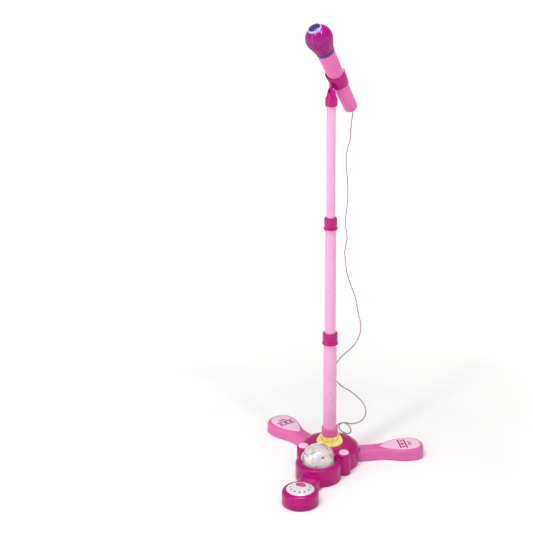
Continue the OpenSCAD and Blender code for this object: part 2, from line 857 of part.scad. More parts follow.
module mic_capsule() {
  color("#9a9aa0") mic_frame() {
    translate([0, 0, 84]) cylinder(r = 9, h = 7);
    translate([0, 0, 90.99]) cylinder(r = 7.6, h = 1);
  }
}

module capsule_holder() {
  color("#303030") mic_frame() {
    translate([0, 0, grille_base + 0.1]) cylinder(r = grille_base_r - grille_t - 0.4, h = 2.4);
    translate([0, 0, grille_base + 2.49]) cylinder(r = 5, h = 83.9 - grille_base - 4);
    translate([0, 0, 81.8]) cylinder(r = 9.5, h = 2.2);
  }
}

module tail_gland() {
  color("#8b3f74") mic_frame() translate([0, 0, tail_end - 2.5]) {
    cylinder(r1 = 2, r2 = 2.5, h = 9);
    translate([0, 0, 5.6]) cylinder(r = 4.5, h = 2);
  }
}

module hub_gland() {
  color("#8b3f74") translate([0, gland_y, 0]) {
    disc(3.1, 39, 45);
    translate([0, 0, 45 - tiny]) cylinder(r1 = 3.1, r2 = 2, h = 2 + tiny);
    disc(4.6, 38, 39.6);
  }
}

// ---------- cord ----------

// smooth curve through the route's points
function spline(p, i, t) =
  let (
    a = p[max(i - 1, 0)], b = p[i], c = p[i + 1], d = p[min(i + 2, len(p) - 1)]
  )
  0.5 * ((2 * b) + (c - a) * t + (2 * a - 5 * b + 4 * c - d) * t * t
    + (3 * b - a - 3 * c + d) * t * t * t);
function along(p, per) = concat(
  [for (i = [0:len(p) - 2]) for (k = [0:per - 1]) spline(p, i, k / per)],
  [p[len(p) - 1]]
);
function unit(v) = v / norm(v);

// side vectors carried from ring to ring, so that the tube doesn't twist
function sides(dirs, i = 0, prev = [0, 0, 0]) =
  i == len(dirs) ? [] :
  let (
    guess = i == 0 ? [0.3, 1, 0.2] : prev,
    flat = unit(guess - (guess * dirs[i]) * dirs[i])
  )
  concat([flat], sides(dirs, i + 1, flat));

// rings of the whole cord: each length of it is a run of these, so that its ends meet exactly
function after_first(p) = [for (i = [1:len(p) - 1]) p[i]];
base_rings = along(route_base, 2);
rings = concat(
  base_rings, after_first(route_lower), after_first(route_middle),
  after_first(route_upper), after_first(route_tilt), after_first(route_mic)
);
ring_last = len(rings) - 1;
ring_dirs = [
  for (i = [0:ring_last]) unit(rings[min(i + 1, ring_last)] - rings[max(i - 1, 0)])
];
ring_sides = sides(ring_dirs);
lower_ring = len(base_rings) - 1;
middle_ring = lower_ring + len(route_lower) - 1;
upper_ring = middle_ring + len(route_middle) - 1;
tilt_ring = upper_ring + len(route_upper) - 1;
mic_ring_no = tilt_ring + len(route_tilt) - 1;

// tube through the rings from one number to another
module cord_tube(from, to) {
  n = to - from + 1;
  m = 8;
  verts = [for (i = [from:to]) for (k = [0:m - 1])
    let (a = 360 * k / m, side = ring_sides[i])
    rings[i] + cord_d / 2 * (cos(a) * side + sin(a) * cross(ring_dirs[i], side))];
  quads = [for (i = [0:n - 2]) for (k = [0:m - 1])
    let (k2 = (k + 1) % m)
    each [[i * m + k, (i + 1) * m + k, i * m + k2],
          [i * m + k2, (i + 1) * m + k, (i + 1) * m + k2]]];
  first = [for (k = [1:m - 2]) [0, k, k + 1]];
  last = [for (k = [1:m - 2]) [(n - 1) * m, (n - 1) * m + k + 1, (n - 1) * m + k]];
  color("#c98ab0") polyhedron(points = verts, faces = concat(quads, first, last));
}

module cord_base() { cord_tube(0, lower_ring); }
module cord_lower() { cord_tube(lower_ring, middle_ring); }
module cord_middle() { cord_tube(middle_ring, upper_ring); }
module cord_upper() { cord_tube(upper_ring, tilt_ring); }
module cord_tilt() { cord_tube(tilt_ring, mic_ring_no); }
module cord_mic() { cord_tube(mic_ring_no, ring_last); }

hub_shell();
base_cover();
battery_door();
battery_cells();
battery_contacts();
main_board();
aux_jack();
speaker_frame();
speaker_cone();
speaker_magnet();
speaker_panel();
mode_button();
mode_switch();
dome_cover();
crystal_ball();
ball_shaft();
ball_motor();
dome_board();
ring_board();
lamps();
light_ring();
pole_socket();
base_collar();
lower_tube();
lower_lock_ring();
lower_collar();
middle_tube();
middle_bush();
upper_lock_ring();
upper_collar();
upper_tube();
upper_bush();
neck();
tilt_pin();
clip();
left_leg();
right_leg();
left_label();
right_label();
rubber_feet();
cover_screws();
left_button();
right_button();
button_switches();
mic_handle();
mic_ring();
mic_grille();
mic_cap();
mic_foam();
mic_capsule();
capsule_holder();
tail_gland();
hub_gland();
cord_base();
cord_lower();
cord_middle();
cord_upper();
cord_tilt();
cord_mic();
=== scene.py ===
"""Toy microphone on a telescopic stand: the looks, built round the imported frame.

Outlines are in millimetres, in the stand's own frame: +Z is up along the pole and -Y is towards
the front foot. Only the camera, the lights and the finished meshes are in metres.
"""

import json
import math

import bmesh
import bpy
from mathutils import Matrix, Vector


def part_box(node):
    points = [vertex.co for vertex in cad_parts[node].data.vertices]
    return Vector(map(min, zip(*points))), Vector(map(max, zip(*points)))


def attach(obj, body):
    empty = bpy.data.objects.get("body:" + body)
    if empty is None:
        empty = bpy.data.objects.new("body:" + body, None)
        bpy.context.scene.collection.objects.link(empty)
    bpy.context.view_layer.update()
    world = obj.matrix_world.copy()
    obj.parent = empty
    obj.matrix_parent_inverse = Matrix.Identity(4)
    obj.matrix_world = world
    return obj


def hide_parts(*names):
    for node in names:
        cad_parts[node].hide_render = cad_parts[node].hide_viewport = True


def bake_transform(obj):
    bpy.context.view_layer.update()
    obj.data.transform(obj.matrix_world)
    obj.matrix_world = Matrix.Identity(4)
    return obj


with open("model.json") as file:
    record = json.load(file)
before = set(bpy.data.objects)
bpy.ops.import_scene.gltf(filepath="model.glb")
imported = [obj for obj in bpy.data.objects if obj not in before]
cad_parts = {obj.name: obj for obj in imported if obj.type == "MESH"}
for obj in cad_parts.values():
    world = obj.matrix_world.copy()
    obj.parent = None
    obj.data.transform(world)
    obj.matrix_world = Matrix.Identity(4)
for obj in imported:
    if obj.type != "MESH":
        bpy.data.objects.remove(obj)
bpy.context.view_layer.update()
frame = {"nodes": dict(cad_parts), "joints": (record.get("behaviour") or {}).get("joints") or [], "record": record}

MM = 0.001
HERE = Matrix.Identity(4)
# steps round a turned piece
ROUND = 96


# ---------- camera ----------

# angles in degrees, distances in metres, lens in millimetres
CAMERA_AZIMUTH = 18.3
CAMERA_DISTANCE = 2.318
CAMERA_HEIGHT = 1.25
CAMERA_PITCH = 19.5
CAMERA_PAN = 3.11
CAMERA_ROLL = -0.75
CAMERA_LENS = 84.43
CAMERA_SENSOR = 36


def turn(degrees, axis):
    return Matrix.Rotation(math.radians(degrees), 4, axis)


def shift(x, y, z):
    return Matrix.Translation((x, y, z))


def make_camera():
    data = bpy.data.cameras.new("camera")
    data.lens = CAMERA_LENS
    data.sensor_width = CAMERA_SENSOR
    data.clip_end = 60
    camera = bpy.data.objects.new("camera", data)
    bpy.context.scene.collection.objects.link(camera)
    camera.matrix_world = (
        turn(CAMERA_AZIMUTH, "Z")
        @ shift(0, -CAMERA_DISTANCE, CAMERA_HEIGHT)
        @ turn(CAMERA_PAN, "Z")
        @ turn(90 - CAMERA_PITCH, "X")
        @ turn(CAMERA_ROLL, "Z")
    )
    bpy.context.scene.camera = camera


make_camera()


# ---------- materials ----------


def linear(code):
    """Linear colour from a six-figure colour code."""
    parts = [int(code[i:i + 2], 16) / 255 for i in (0, 2, 4)]
    return [c / 12.92 if c <= 0.04045 else ((c + 0.055) / 1.055) ** 2.4 for c in parts] + [1]


def surface(name, **sockets):
    """A new material with its shader's own sockets set, and the tools to add nodes to it."""
    material = bpy.data.materials.new(name)
    material.use_nodes = True
    tree = material.node_tree
    shader = tree.nodes["Principled BSDF"]
    for key, value in sockets.items():
        shader.inputs[key.replace("_", " ")].default_value = value
    return material, tree, shader


def noise_node(tree, scale, detail, stretch=(1, 1, 1)):
    place = tree.nodes.new("ShaderNodeTexCoord")
    mapping = tree.nodes.new("ShaderNodeMapping")
    mapping.inputs["Scale"].default_value = stretch
    texture = tree.nodes.new("ShaderNodeTexNoise")
    texture.inputs["Scale"].default_value = scale
    texture.inputs["Detail"].default_value = detail
    tree.links.new(place.outputs["Object"], mapping.inputs["Vector"])
    tree.links.new(mapping.outputs["Vector"], texture.inputs["Vector"])
    return texture


def ramp_node(tree, source, stops):
    """Colours at the stops' places, and a smooth change between them."""
    ramp = tree.nodes.new("ShaderNodeValToRGB")
    elements = ramp.color_ramp.elements
    while len(elements) < len(stops):
        elements.new(0.5)
    for element, (place, colour) in zip(elements, stops):
        element.position = place
        element.color = colour
    tree.links.new(source, ramp.inputs["Fac"])
    return ramp


def range_node(tree, source, low, high, start=0.3, end=0.7):
    """Goes from low to high while the source goes from start to end, and no further."""
    node = tree.nodes.new("ShaderNodeMapRange")
    node.inputs["From Min"].default_value = start
    node.inputs["From Max"].default_value = end
    node.inputs["To Min"].default_value = low
    node.inputs["To Max"].default_value = high
    tree.links.new(source, node.inputs["Value"])
    return node.outputs["Result"]


def bump_node(tree, shader, source, height):
    bump = tree.nodes.new("ShaderNodeBump")
    bump.inputs["Distance"].default_value = height * MM
    bump.inputs["Strength"].default_value = 0.5
    tree.links.new(source, bump.inputs["Height"])
    tree.links.new(bump.outputs["Normal"], shader.inputs["Normal"])


def moulded(name, light, dark, gloss=(0.12, 0.24), grain=900, grain_height=0.02, **sockets):
    """Moulded plastic: a faint flow of colour, a soft change of gloss, and a fine skin."""
    settings = dict(IOR=1.5, Coat_Weight=0.35, Coat_Roughness=0.06)
    settings.update(sockets)
    material, tree, shader = surface(name, **settings)
    flow = noise_node(tree, 14, 2)
    colours = ramp_node(tree, flow.outputs["Fac"], [(0.3, linear(dark)), (0.7, linear(light))])
    tree.links.new(colours.outputs["Color"], shader.inputs["Base Color"])
    wear = noise_node(tree, 70, 5)
    tree.links.new(range_node(tree, wear.outputs["Fac"], *gloss), shader.inputs["Roughness"])
    skin = noise_node(tree, grain, 2)
    bump_node(tree, shader, skin.outputs["Fac"], grain_height)
    return material


def metal(name, light, dark, gloss, stretch=(1, 1, 1), metallic=1.0):
    """Metal or plated plastic. Its grain is finer along the axes that stretch scales up."""
    material, tree, shader = surface(name, Metallic=metallic)
    lines = noise_node(tree, 500, 2, stretch)
    colours = ramp_node(tree, lines.outputs["Fac"], [(0.3, linear(dark)), (0.7, linear(light))])
    tree.links.new(colours.outputs["Color"], shader.inputs["Base Color"])
    tree.links.new(range_node(tree, lines.outputs["Fac"], *gloss), shader.inputs["Roughness"])
    bump_node(tree, shader, lines.outputs["Fac"], 0.01)
    return material


def glowing_crystal():
    """White crystal plastic with a painted glow, as if lit from inside, and painted coloured glints that change
    from facet to facet.
    """
    material, tree, shader = surface("glowing_crystal", IOR=1.5, Coat_Weight=0.6)
    shader.inputs["Roughness"].default_value = 0.12
    cells = tree.nodes.new("ShaderNodeTexVoronoi")
    cells.inputs["Scale"].default_value = 190
    place = tree.nodes.new("ShaderNodeTexCoord")
    tree.links.new(place.outputs["Object"], cells.inputs["Vector"])
    parts = tree.nodes.new("ShaderNodeSeparateColor")
    tree.links.new(cells.outputs["Color"], parts.inputs["Color"])
    # painted coloured glints: each facet cell takes white, pale yellow, cyan, pink or lavender from the ramp, as
    # base colour and as glow
    painted_glints = ramp_node(tree, parts.outputs["Red"], [
        (0.00, linear("f4f2ea")), (0.50, linear("ece8ec")), (0.60, linear("f4e096")),
        (0.67, linear("f4f2ec")), (0.78, linear("8ed2dc")), (0.83, linear("f0eee8")),
        (0.92, linear("f0769e")), (0.96, linear("bdaee8")),
    ])
    painted_glints.color_ramp.interpolation = "CONSTANT"
    tree.links.new(painted_glints.outputs["Color"], shader.inputs["Base Color"])
    tree.links.new(painted_glints.outputs["Color"], shader.inputs["Emission Color"])
    # painted glow: the ball shines by its own emission, though it is no lamp
    shader.inputs["Emission Strength"].default_value = 0.17
    return material


def clear_plastic(name, tint, roughness, glow=None, glow_strength=0.0):
    """See-through plastic with a faint haze, which can carry the light of the lamps under it."""
    material, tree, shader = surface(name, Transmission_Weight=1.0, IOR=1.46)
    haze = noise_node(tree, 45, 3)
    tree.links.new(range_node(tree, haze.outputs["Fac"], *roughness), shader.inputs["Roughness"])
    colours = ramp_node(tree, haze.outputs["Fac"], [(0.3, linear(tint[0])), (0.7, linear(tint[1]))])
    tree.links.new(colours.outputs["Color"], shader.inputs["Base Color"])
    if glow:
        shader.inputs["Emission Color"].default_value = linear(glow)
        shader.inputs["Emission Strength"].default_value = glow_strength
    return material


def speckled(name, light, dark, scale, gloss, height):
    """Rough plastic, board, paper or foam with a visible speckle."""
    material, tree, shader = surface(name)
    grain = noise_node(tree, scale, 4)
    colours = ramp_node(tree, grain.outputs["Fac"], [(0.35, linear(dark)), (0.65, linear(light))])
    tree.links.new(colours.outputs["Color"], shader.inputs["Base Color"])
    tree.links.new(range_node(tree, grain.outputs["Fac"], *gloss), shader.inputs["Roughness"])
    bump_node(tree, shader, grain.outputs["Fac"], height)
    return material


MATERIALS = {
    "magenta_gloss": moulded(
        "magenta_gloss", "b80376", "a00063", (0.10, 0.16), Coat_Weight=0.0,
        Specular_IOR_Level=0.3,
    ),
    "magenta_matte": moulded(
        "magenta_matte", "bb1075", "a80a66", (0.42, 0.55), 1400, 0.06, Coat_Weight=0.0
    ),
    "pink_gloss": moulded("pink_gloss", "e7a0c8", "e294bf", (0.26, 0.34), Coat_Weight=0.25),
    "pink_satin": moulded(
        "pink_satin", "de68aa", "d65da0", (0.26, 0.34), Coat_Weight=0.0,
        Specular_IOR_Level=0.4,
    ),
    "pale_label": moulded("pale_label", "f8cee4", "f4c4dd", (0.12, 0.2)),
    "pale_button": moulded("pale_button", "f7cbe1", "f1bdd8", (0.10, 0.18)),
    "pink_button": moulded("pink_button", "dc2f96", "cc2287", (0.10, 0.2)),
    "violet_plastic": moulded("violet_plastic", "30287a", "27206c", (0.12, 0.22), Coat_Weight=0.2),
    "lavender_rim": moulded("lavender_rim", "b9aede", "a69ad2", (0.08, 0.16)),
    "magenta_translucent": moulded(
        "magenta_translucent", "9e0482", "7e0476", (0.08, 0.16), Transmission_Weight=0.15,
        Coat_Weight=0.0, Specular_IOR_Level=0.3,
    ),
    "purple_foam": speckled("purple_foam", "8a3fa0", "5e2478", 700, (0.8, 0.95), 0.5),
    "silver_plate": metal("silver_plate", "fafafc", "eaeaef", (0.12, 0.22), metallic=0.35),
    "clear_dome": clear_plastic("clear_dome", ("ffffff", "fbf7ff"), (0.0, 0.03)),
    "glowing_crystal": glowing_crystal(),
    "amber_crystal": clear_plastic(
        "amber_crystal", ("efe9a6", "f8f4c8"), (0.02, 0.08), "e9dc6a", 0.16
    ),
    "lamp_glow": clear_plastic("lamp_glow", ("fff6d8", "ffffff"), (0.05, 0.1), "fff1c0", 2.0),
    "bright_metal": metal("bright_metal", "d4d5d9", "b4b6bb", (0.22, 0.34), (1, 1, 6)),
    "green_board": speckled("green_board", "2a7f52", "1d6741", 300, (0.3, 0.45), 0.05),
    "black_plastic": moulded(
        "black_plastic", "26262a", "1b1b1e", (0.35, 0.5), Coat_Weight=0.0
    ),
    "white_plastic": moulded("white_plastic", "f1f0ec", "e5e3de", (0.35, 0.48), Coat_Weight=0.0),
    "cell_wrap": moulded("cell_wrap", "3e69ad", "34599a", (0.15, 0.25)),
    "speaker_paper": speckled("speaker_paper", "2b2a2b", "171617", 500, (0.75, 0.9), 0.15),
    "grey_rubber": speckled("grey_rubber", "3b3a3c", "2c2b2d", 800, (0.65, 0.8), 0.08),
    "cord_plastic": moulded("cord_plastic", "b0889b", "a47c90", (0.28, 0.4), Coat_Weight=0.1),
}


# ---------- mesh tools ----------


def mesh_object(name, points, faces, place=HERE):
    """A mesh from points in millimetres, placed by a matrix that is in millimetres too."""
    mesh = bpy.data.meshes.new(name)
    mesh.from_pydata([(place @ Vector(p)) * MM for p in points], [], faces)
    tool = bmesh.new()
    tool.from_mesh(mesh)
    bmesh.ops.recalc_face_normals(tool, faces=tool.faces)
    tool.to_mesh(mesh)
    tool.free()
    piece = bpy.data.objects.new(name, mesh)
    bpy.context.scene.collection.objects.link(piece)
    return piece


def fixed(piece):
    """The piece with its modifiers applied."""
    graph = bpy.context.evaluated_depsgraph_get()
    mesh = bpy.data.meshes.new_from_object(piece.evaluated_get(graph))
    piece.modifiers.clear()
    piece.data = mesh
    return piece


def cut(piece, *cutters):
    """The piece with the cutters' shapes taken out of it."""
    for cutter in cutters:
        step = piece.modifiers.new("cut", "BOOLEAN")
        step.operation = "DIFFERENCE"
        step.solver = "EXACT"
        step.object = cutter
    fixed(piece)
    for cutter in cutters:
        bpy.data.objects.remove(cutter)
    return piece


def done(piece, body, slot, *nodes, sharp=38, flat=False, look=None):
    """Gives the piece its shading and material, puts it on its body, and hides the nodes it stands for.

    look names the material where it isn't the slot's own. A piece without a body is put on none.
    """
    mesh = piece.data
    mesh.materials.clear()
    mesh.materials.append(MATERIALS[look or slot])
    if flat:
        mesh.shade_flat()
    else:
        mesh.shade_smooth()
        mesh.set_sharp_from_angle(angle=math.radians(sharp))
    if body:
        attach(piece, body)
    if nodes:
        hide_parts(*nodes)
    return piece


def soften(points, radius, steps=4, closed=False):
    """The same outline with its corners rounded. The ends of an open outline stay as they are."""
    result = []
    last = len(points) - 1
    for i, point in enumerate(points):
        before = Vector(points[i - 1])
        corner = Vector(point)
        after = Vector(points[(i + 1) % len(points)])
        one = before - corner
        two = after - corner
        reach = min(radius, 0.45 * one.length, 0.45 * two.length)
        if (not closed and i in (0, last)) or one.angle(two, 0) > math.radians(172):
            result.append(tuple(corner))
            continue
        start = corner + one.normalized() * reach
        end = corner + two.normalized() * reach
        for k in range(steps + 1):
            t = k / steps
            result.append(tuple(start * (1 - t) ** 2 + corner * 2 * t * (1 - t) + end * t * t))
    return result


def arc(x, y, radius, start, end, steps=16):
    """Points of an arc, from one angle to another, in degrees."""
    angles = [math.radians(start + (end - start) * i / steps) for i in range(steps + 1)]
    return [(x + radius * math.cos(a), y + radius * math.sin(a)) for a in angles]


def crown(x0, y0, x1, y1, steps=14):
    """Points of a quarter ellipse that leaves (x0, y1) level and reaches (x1, y0) upright."""
    angles = [math.pi / 2 * i / steps for i in range(steps + 1)]
    return [(x0 + (x1 - x0) * math.sin(a), y0 + (y1 - y0) * math.cos(a)) for a in angles]


def lathe(name, outline, place=HERE, segments=ROUND, closed=False, wave=None):
    """Turns an outline of (radius, height) points about Z.

    wave(row, angle) is added to the radius of that row of the outline.
    """
    points = []
    rows = []
    for row, (radius, height) in enumerate(outline):
        if radius < 1e-4:
            rows.append([len(points)] * segments)
            points.append((0, 0, height))
            continue
        rows.append(range(len(points), len(points) + segments))
        for k in range(segments):
            angle = 2 * math.pi * k / segments
            r = radius + (wave(row, angle) if wave else 0)
            points.append((r * math.cos(angle), r * math.sin(angle), height))
    faces = []
    pairs = list(zip(rows, rows[1:]))
    if closed:
        pairs.append((rows[-1], rows[0]))
    for low, high in pairs:
        for k in range(segments):
            n = (k + 1) % segments
            ring = dict.fromkeys([low[k], low[n], high[n], high[k]])
            if len(ring) > 2:
                faces.append(tuple(ring))
    return mesh_object(name, points, faces, place)


def rod(radius, low, high, place=HERE, segments=64):
    return lathe("rod", [(0, low), (radius, low), (radius, high), (0, high)], place, segments)


def block(low, high, place=HERE):
    corners = [
        (x, y, z)
        for x in (low[0], high[0]) for y in (low[1], high[1]) for z in (low[2], high[2])
    ]
    sides = [(0, 1, 3, 2), (4, 6, 7, 5), (0, 4, 5, 1), (2, 3, 7, 6), (0, 2, 6, 4), (1, 5, 7, 3)]
    return mesh_object("block", corners, sides, place)


def bands(count, rows, first=0):
    """Faces between so many rings of count points each, numbered from the first point on."""
    faces = []
    for row in range(rows - 1):
        for k in range(count):
            n = (k + 1) % count
            low = first + row * count
            faces.append((low + k, low + n, low + count + n, low + count + k))
    return faces


def stacked(name, levels, place=HERE, ends=True):
    """A shape through rings that all have the same number of points. Ends close it."""
    count = len(levels[0])
    points = [p for level in levels for p in level]
    faces = []
    if ends:
        faces = [tuple(range(count)), tuple(range(len(points) - count, len(points)))]
    return mesh_object(name, points, faces + bands(count, len(levels)), place)


def inset(outline, distance):
    """A closed outline moved inwards. It runs anticlockwise."""
    result = []
    for i, point in enumerate(outline):
        along = Vector(outline[(i + 1) % len(outline)]) - Vector(outline[i - 1])
        inward = Vector((-along.y, along.x)).normalized()
        result.append(tuple(Vector(point) + inward * distance))
    return result


def slab(name, outline, low, high, edge, place=HERE, dome=0.0, steps=5):
    """A plate of that outline with rounded upper edges and, if asked, a slightly domed top."""
    levels = [[(x, y, low) for x, y in outline]]
    for k in range(steps + 1):
        a = math.pi / 2 * k / steps
        z = high - edge + edge * math.sin(a)
        levels.append([(x, y, z) for x, y in inset(outline, edge * (1 - math.cos(a)))])
    if dome:
        middle = Vector((sum(x for x, y in outline), sum(y for x, y in outline))) / len(outline)
        rim = inset(outline, edge)
        for t in (0.8, 0.6, 0.4, 0.2, 0.05):
            level = []
            for x, y in rim:
                p = middle + (Vector((x, y)) - middle) * t
                level.append((p.x, p.y, high + dome * (1 - t * t)))
            levels.append(level)
    return stacked(name, levels, place)


def tube(name, path, radius, sides=12):
    """A round tube along the points of a path. Its rings don't twist."""
    path = [Vector(p) for p in path]
    points = []
    side = Vector((0.3, 1, 0.2))
    for i, p in enumerate(path):
        along = (path[min(i + 1, len(path) - 1)] - path[max(i - 1, 0)]).normalized()
        side = (side - along * side.dot(along)).normalized()
        other = along.cross(side)
        for k in range(sides):
            a = 2 * math.pi * k / sides
            points.append(p + (side * math.cos(a) + other * math.sin(a)) * radius)
    levels = [points[i:i + sides] for i in range(0, len(points), sides)]
    return stacked(name, levels)


def smooth_path(points, per):
    """A smooth curve through the points, with so many steps between each two."""
    p = [Vector(q) for q in points]
    result = []
    for i in range(len(p) - 1):
        a, b, c, d = p[max(i - 1, 0)], p[i], p[i + 1], p[min(i + 2, len(p) - 1)]
        for k in range(per):
            t = k / per
            result.append(
                0.5 * (2 * b + (c - a) * t + (2 * a - 5 * b + 4 * c - d) * t * t
                       + (3 * b - a - 3 * c + d) * t * t * t)
            )
    return result + [p[-1]]


# ---------- places taken from the frame ----------


def span(node):
    """Middle, half width along X, and lowest and highest height of a node, in millimetres."""
    low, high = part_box(node)
    low = low / MM
    high = high / MM
    return (low + high) / 2, (high.x - low.x) / 2, low.z, high.z


JOINTS = {joint["name"]: joint for joint in frame["joints"]}
# the tilt pin, and from it the microphone's own frame: its axis is +Z and the pin's is +Y
PIVOT = Vector(JOINTS["clip_tilt"]["pos_m"]) / MM
HINGE = Vector(JOINTS["clip_tilt"]["axis"]).normalized()
MIC_UP = Vector(JOINTS["microphone_lift"]["axis"]).normalized()
AXIS_GAP = 24.3
CLIP_RISE = 5
MIC_X = HINGE.cross(MIC_UP).normalized()
MIC_FROM = PIVOT - MIC_X * AXIS_GAP + MIC_UP * CLIP_RISE
MIC = Matrix((
    (MIC_X.x, HINGE.x, MIC_UP.x, MIC_FROM.x),
    (MIC_X.y, HINGE.y, MIC_UP.y, MIC_FROM.y),
    (MIC_X.z, HINGE.z, MIC_UP.z, MIC_FROM.z),
    (0, 0, 0, 1),
))
# how far the neck's fork is turned about the pole
LEAN = math.degrees(math.atan2(-HINGE.x, HINGE.y))
DOME = span("dome_cover")[0]
FOOT = span("speaker_panel")[0]
POSTS = [span(node)[0] for node in ("left_button", "right_button")]
FLOOR_GAP = span("hub_shell")[2]


# ---------- cord ----------

# end of the handle, in the microphone's frame
TAIL_END = -78.5
CORD_R = 1.2
GLAND_Y = 40
STEPS_PER_POINT = 5
ROUTES = {
    "cord_base": [
        (0, GLAND_Y, 47), (0, GLAND_Y, 52), (0.5, 41, 57), (3, 42.5, 62.5), (8, 44, 67),
        (15, 45, 69), (23, 45, 67.5), (29.5, 44.5, 61.5), (31.5, 46, 54), (28.5, 50, 46),
        (20, 53, 41.5), (12, 53, 43), (5.5, 52, 49), (3.5, 51.5, 57), (8, 52, 63.5),
        (17, 52, 66.5), (28, 52, 66),
    ],
    "cord_lower": [
        (28, 52, 66), (38, 53, 68), (49, 54, 74), (57, 54.5, 83), (61, 54, 97), (59, 52, 111),
        (52, 49, 124), (41, 44.5, 137), (30, 40, 147), (17, 34.5, 156), (7, 30, 167),
        (0.5, 27, 180), (0, 26, 193), (3, 27, 206), (9, 30, 218), (19, 34, 230),
        (29, 38, 240), (38, 42, 251), (45, 46, 265), (49, 48, 282), (48, 48, 300),
    ],
    "cord_middle": [
        (48, 48, 300), (44, 47, 316), (41, 46.5, 335), (37, 46, 353), (31, 44, 371),
        (25, 42, 389), (21, 41, 404), (18.5, 41, 420), (17, 41, 434), (16, 41, 448),
        (18, 42, 462), (20, 43, 476), (18.5, 43, 490), (16, 43, 503), (16.5, 44.5, 520),
    ],
    "cord_upper": [
        (16.5, 44.5, 520), (18, 46, 538), (19, 47, 555), (19, 48, 573), (18, 49, 590),
        (16, 50, 606),
    ],
    "cord_tilt": [
        (16, 50, 606), (14.5, 50.5, 622), (14, 51, 637), (16, 53, 655),
    ],
    "cord_mic": [
        (16, 53, 655), (20, 55.3, 672), (21, 57, 690), (22, 58.3, 708),
        tuple(MIC @ Vector((0, 0, TAIL_END - 6.5))), tuple(MIC @ Vector((0, 0, TAIL_END - 2.5))),
    ],
}
# each stretch of the cord, and the two bodies that it spans
SPANS = [
    ("cord_base", "root", None),
    ("cord_lower", "root", "middle_section"),
    ("cord_middle", "middle_section", "upper_section"),
    ("cord_upper", "upper_section", "neck"),
    ("cord_tilt", "neck", "clip"),
    ("cord_mic", "clip", "microphone"),
]


def cords():
    """The one cord of the microphone, cut into stretches at its joints."""
    whole = []
    for name, _, _ in SPANS:
        whole += ROUTES[name][1 if whole else 0:]
    path = smooth_path(whole, STEPS_PER_POINT)
    start = 0
    for name, first, second in SPANS:
        end = start + (len(ROUTES[name]) - 1) * STEPS_PER_POINT
        part = path[start:end + 1]
        piece = tube(name + "_sheath", part, CORD_R)
        done(piece, None if second else first, "cord_plastic", name, sharp=60)
        if second:
            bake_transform(piece)
        start = end


cords()


# ---------- base ----------

HUB_R = 60
HUB_H = 45.5
LOBE_R = 46.5
LOBE_H = 38
DOME_R = 36
FOOT_R = 36.5
FOOT_H = 30
POST_R = 13.8
POST_H = 46
BUTTON_R = 10
PANEL_R = 27.6
BRIDGE_HALF = 21
BRIDGE_H = 27
SHELL_T = 2.3
RING_R = 27.7
JACK_Z = 17
JACK_R = 1.8
# the casing is made longer than it is, and then cut off level at the floor gap
SINK = -6


def drum(radius, height, flat, side, place):
    """A round block whose top edge is a quarter ellipse, from radius flat to height side."""
    edge = crown(flat, side, radius, height)[::-1]
    return lathe("drum", [(0, SINK), (radius, SINK)] + edge + [(0, height)], place, 128)


def bridge():
    """The arched bridge between the dome's lobe and the front foot."""
    section = soften(
        [
            (-BRIDGE_HALF, SINK), (BRIDGE_HALF, SINK),
            (BRIDGE_HALF, BRIDGE_H), (-BRIDGE_HALF, BRIDGE_H),
        ],
        10, 10, closed=True,
    )
    levels = [[(x, y, z) for x, z in section] for y in (FOOT.y, DOME.y)]
    return stacked("bridge", levels)


def joined(name, parts):
    """One object from several meshes."""
    tool = bmesh.new()
    for part in parts:
        tool.from_mesh(part.data)
    mesh = bpy.data.meshes.new(name)
    tool.to_mesh(mesh)
    tool.free()
    for part in parts:
        bpy.data.objects.remove(part)
    piece = bpy.data.objects.new(name, mesh)
    bpy.context.scene.collection.objects.link(piece)
    return piece


def hub_shell():
    """The smooth magenta casing: blended rounds, hollow, and open where parts come through."""
    at_dome = shift(DOME.x, DOME.y, 0)
    at_foot = shift(FOOT.x, FOOT.y, 0)
    posts = [shift(p.x, p.y, 0) for p in POSTS]
    parts = [
        drum(HUB_R, HUB_H, 30, HUB_H - 11.5, HERE),
        drum(LOBE_R, LOBE_H, DOME_R + 2.5, LOBE_H - 6, at_dome),
        drum(FOOT_R, FOOT_H, PANEL_R + 1, FOOT_H - 7, at_foot),
        bridge(),
    ]
    parts += [drum(POST_R, POST_H, BUTTON_R + 0.8, POST_H - 2.5, place) for place in posts]
    piece = joined("smooth_casing", parts)
    step = piece.modifiers.new("skin", "REMESH")
    step.mode = "VOXEL"
    step.voxel_size = 1.15 * MM
    step = piece.modifiers.new("blend", "SMOOTH")
    step.factor = 0.5
    step.iterations = 7
    fixed(piece)
    cut(piece, block((-90, -240, SINK - 5), (90, 90, FLOOR_GAP)))
    tool = bmesh.new()
    tool.from_mesh(piece.data)
    floor = [f for f in tool.faces if f.calc_center_median().z < (FLOOR_GAP + 0.05) * MM]
    bmesh.ops.delete(tool, geom=floor, context="FACES")
    tool.to_mesh(piece.data)
    tool.free()
    step = piece.modifiers.new("wall", "SOLIDIFY")
    step.thickness = SHELL_T * MM
    step.offset = -1
    step.use_even_offset = False
    fixed(piece)
    cut(
        piece,
        rod(RING_R - 3.5, 30, 60),
        rod(DOME_R + 0.3, 20, 60, at_dome, 96),
        rod(PANEL_R - 2.5, 15, 60, at_foot, 96),
        rod(PANEL_R + 0.25, FOOT_H - 1.6, 60, at_foot, 96),
        rod(BUTTON_R + 0.3, 30, 60, posts[0]),
        rod(BUTTON_R + 0.3, 30, 60, posts[1]),
        rod(JACK_R, 0, 80, shift(0, 0, JACK_Z) @ turn(-90, "X"), 32),
        rod(3.2, 30, 60, shift(0, GLAND_Y, 0), 32),
    )
    done(piece, "root", "magenta_gloss", "hub_shell", sharp=42)


hub_shell()


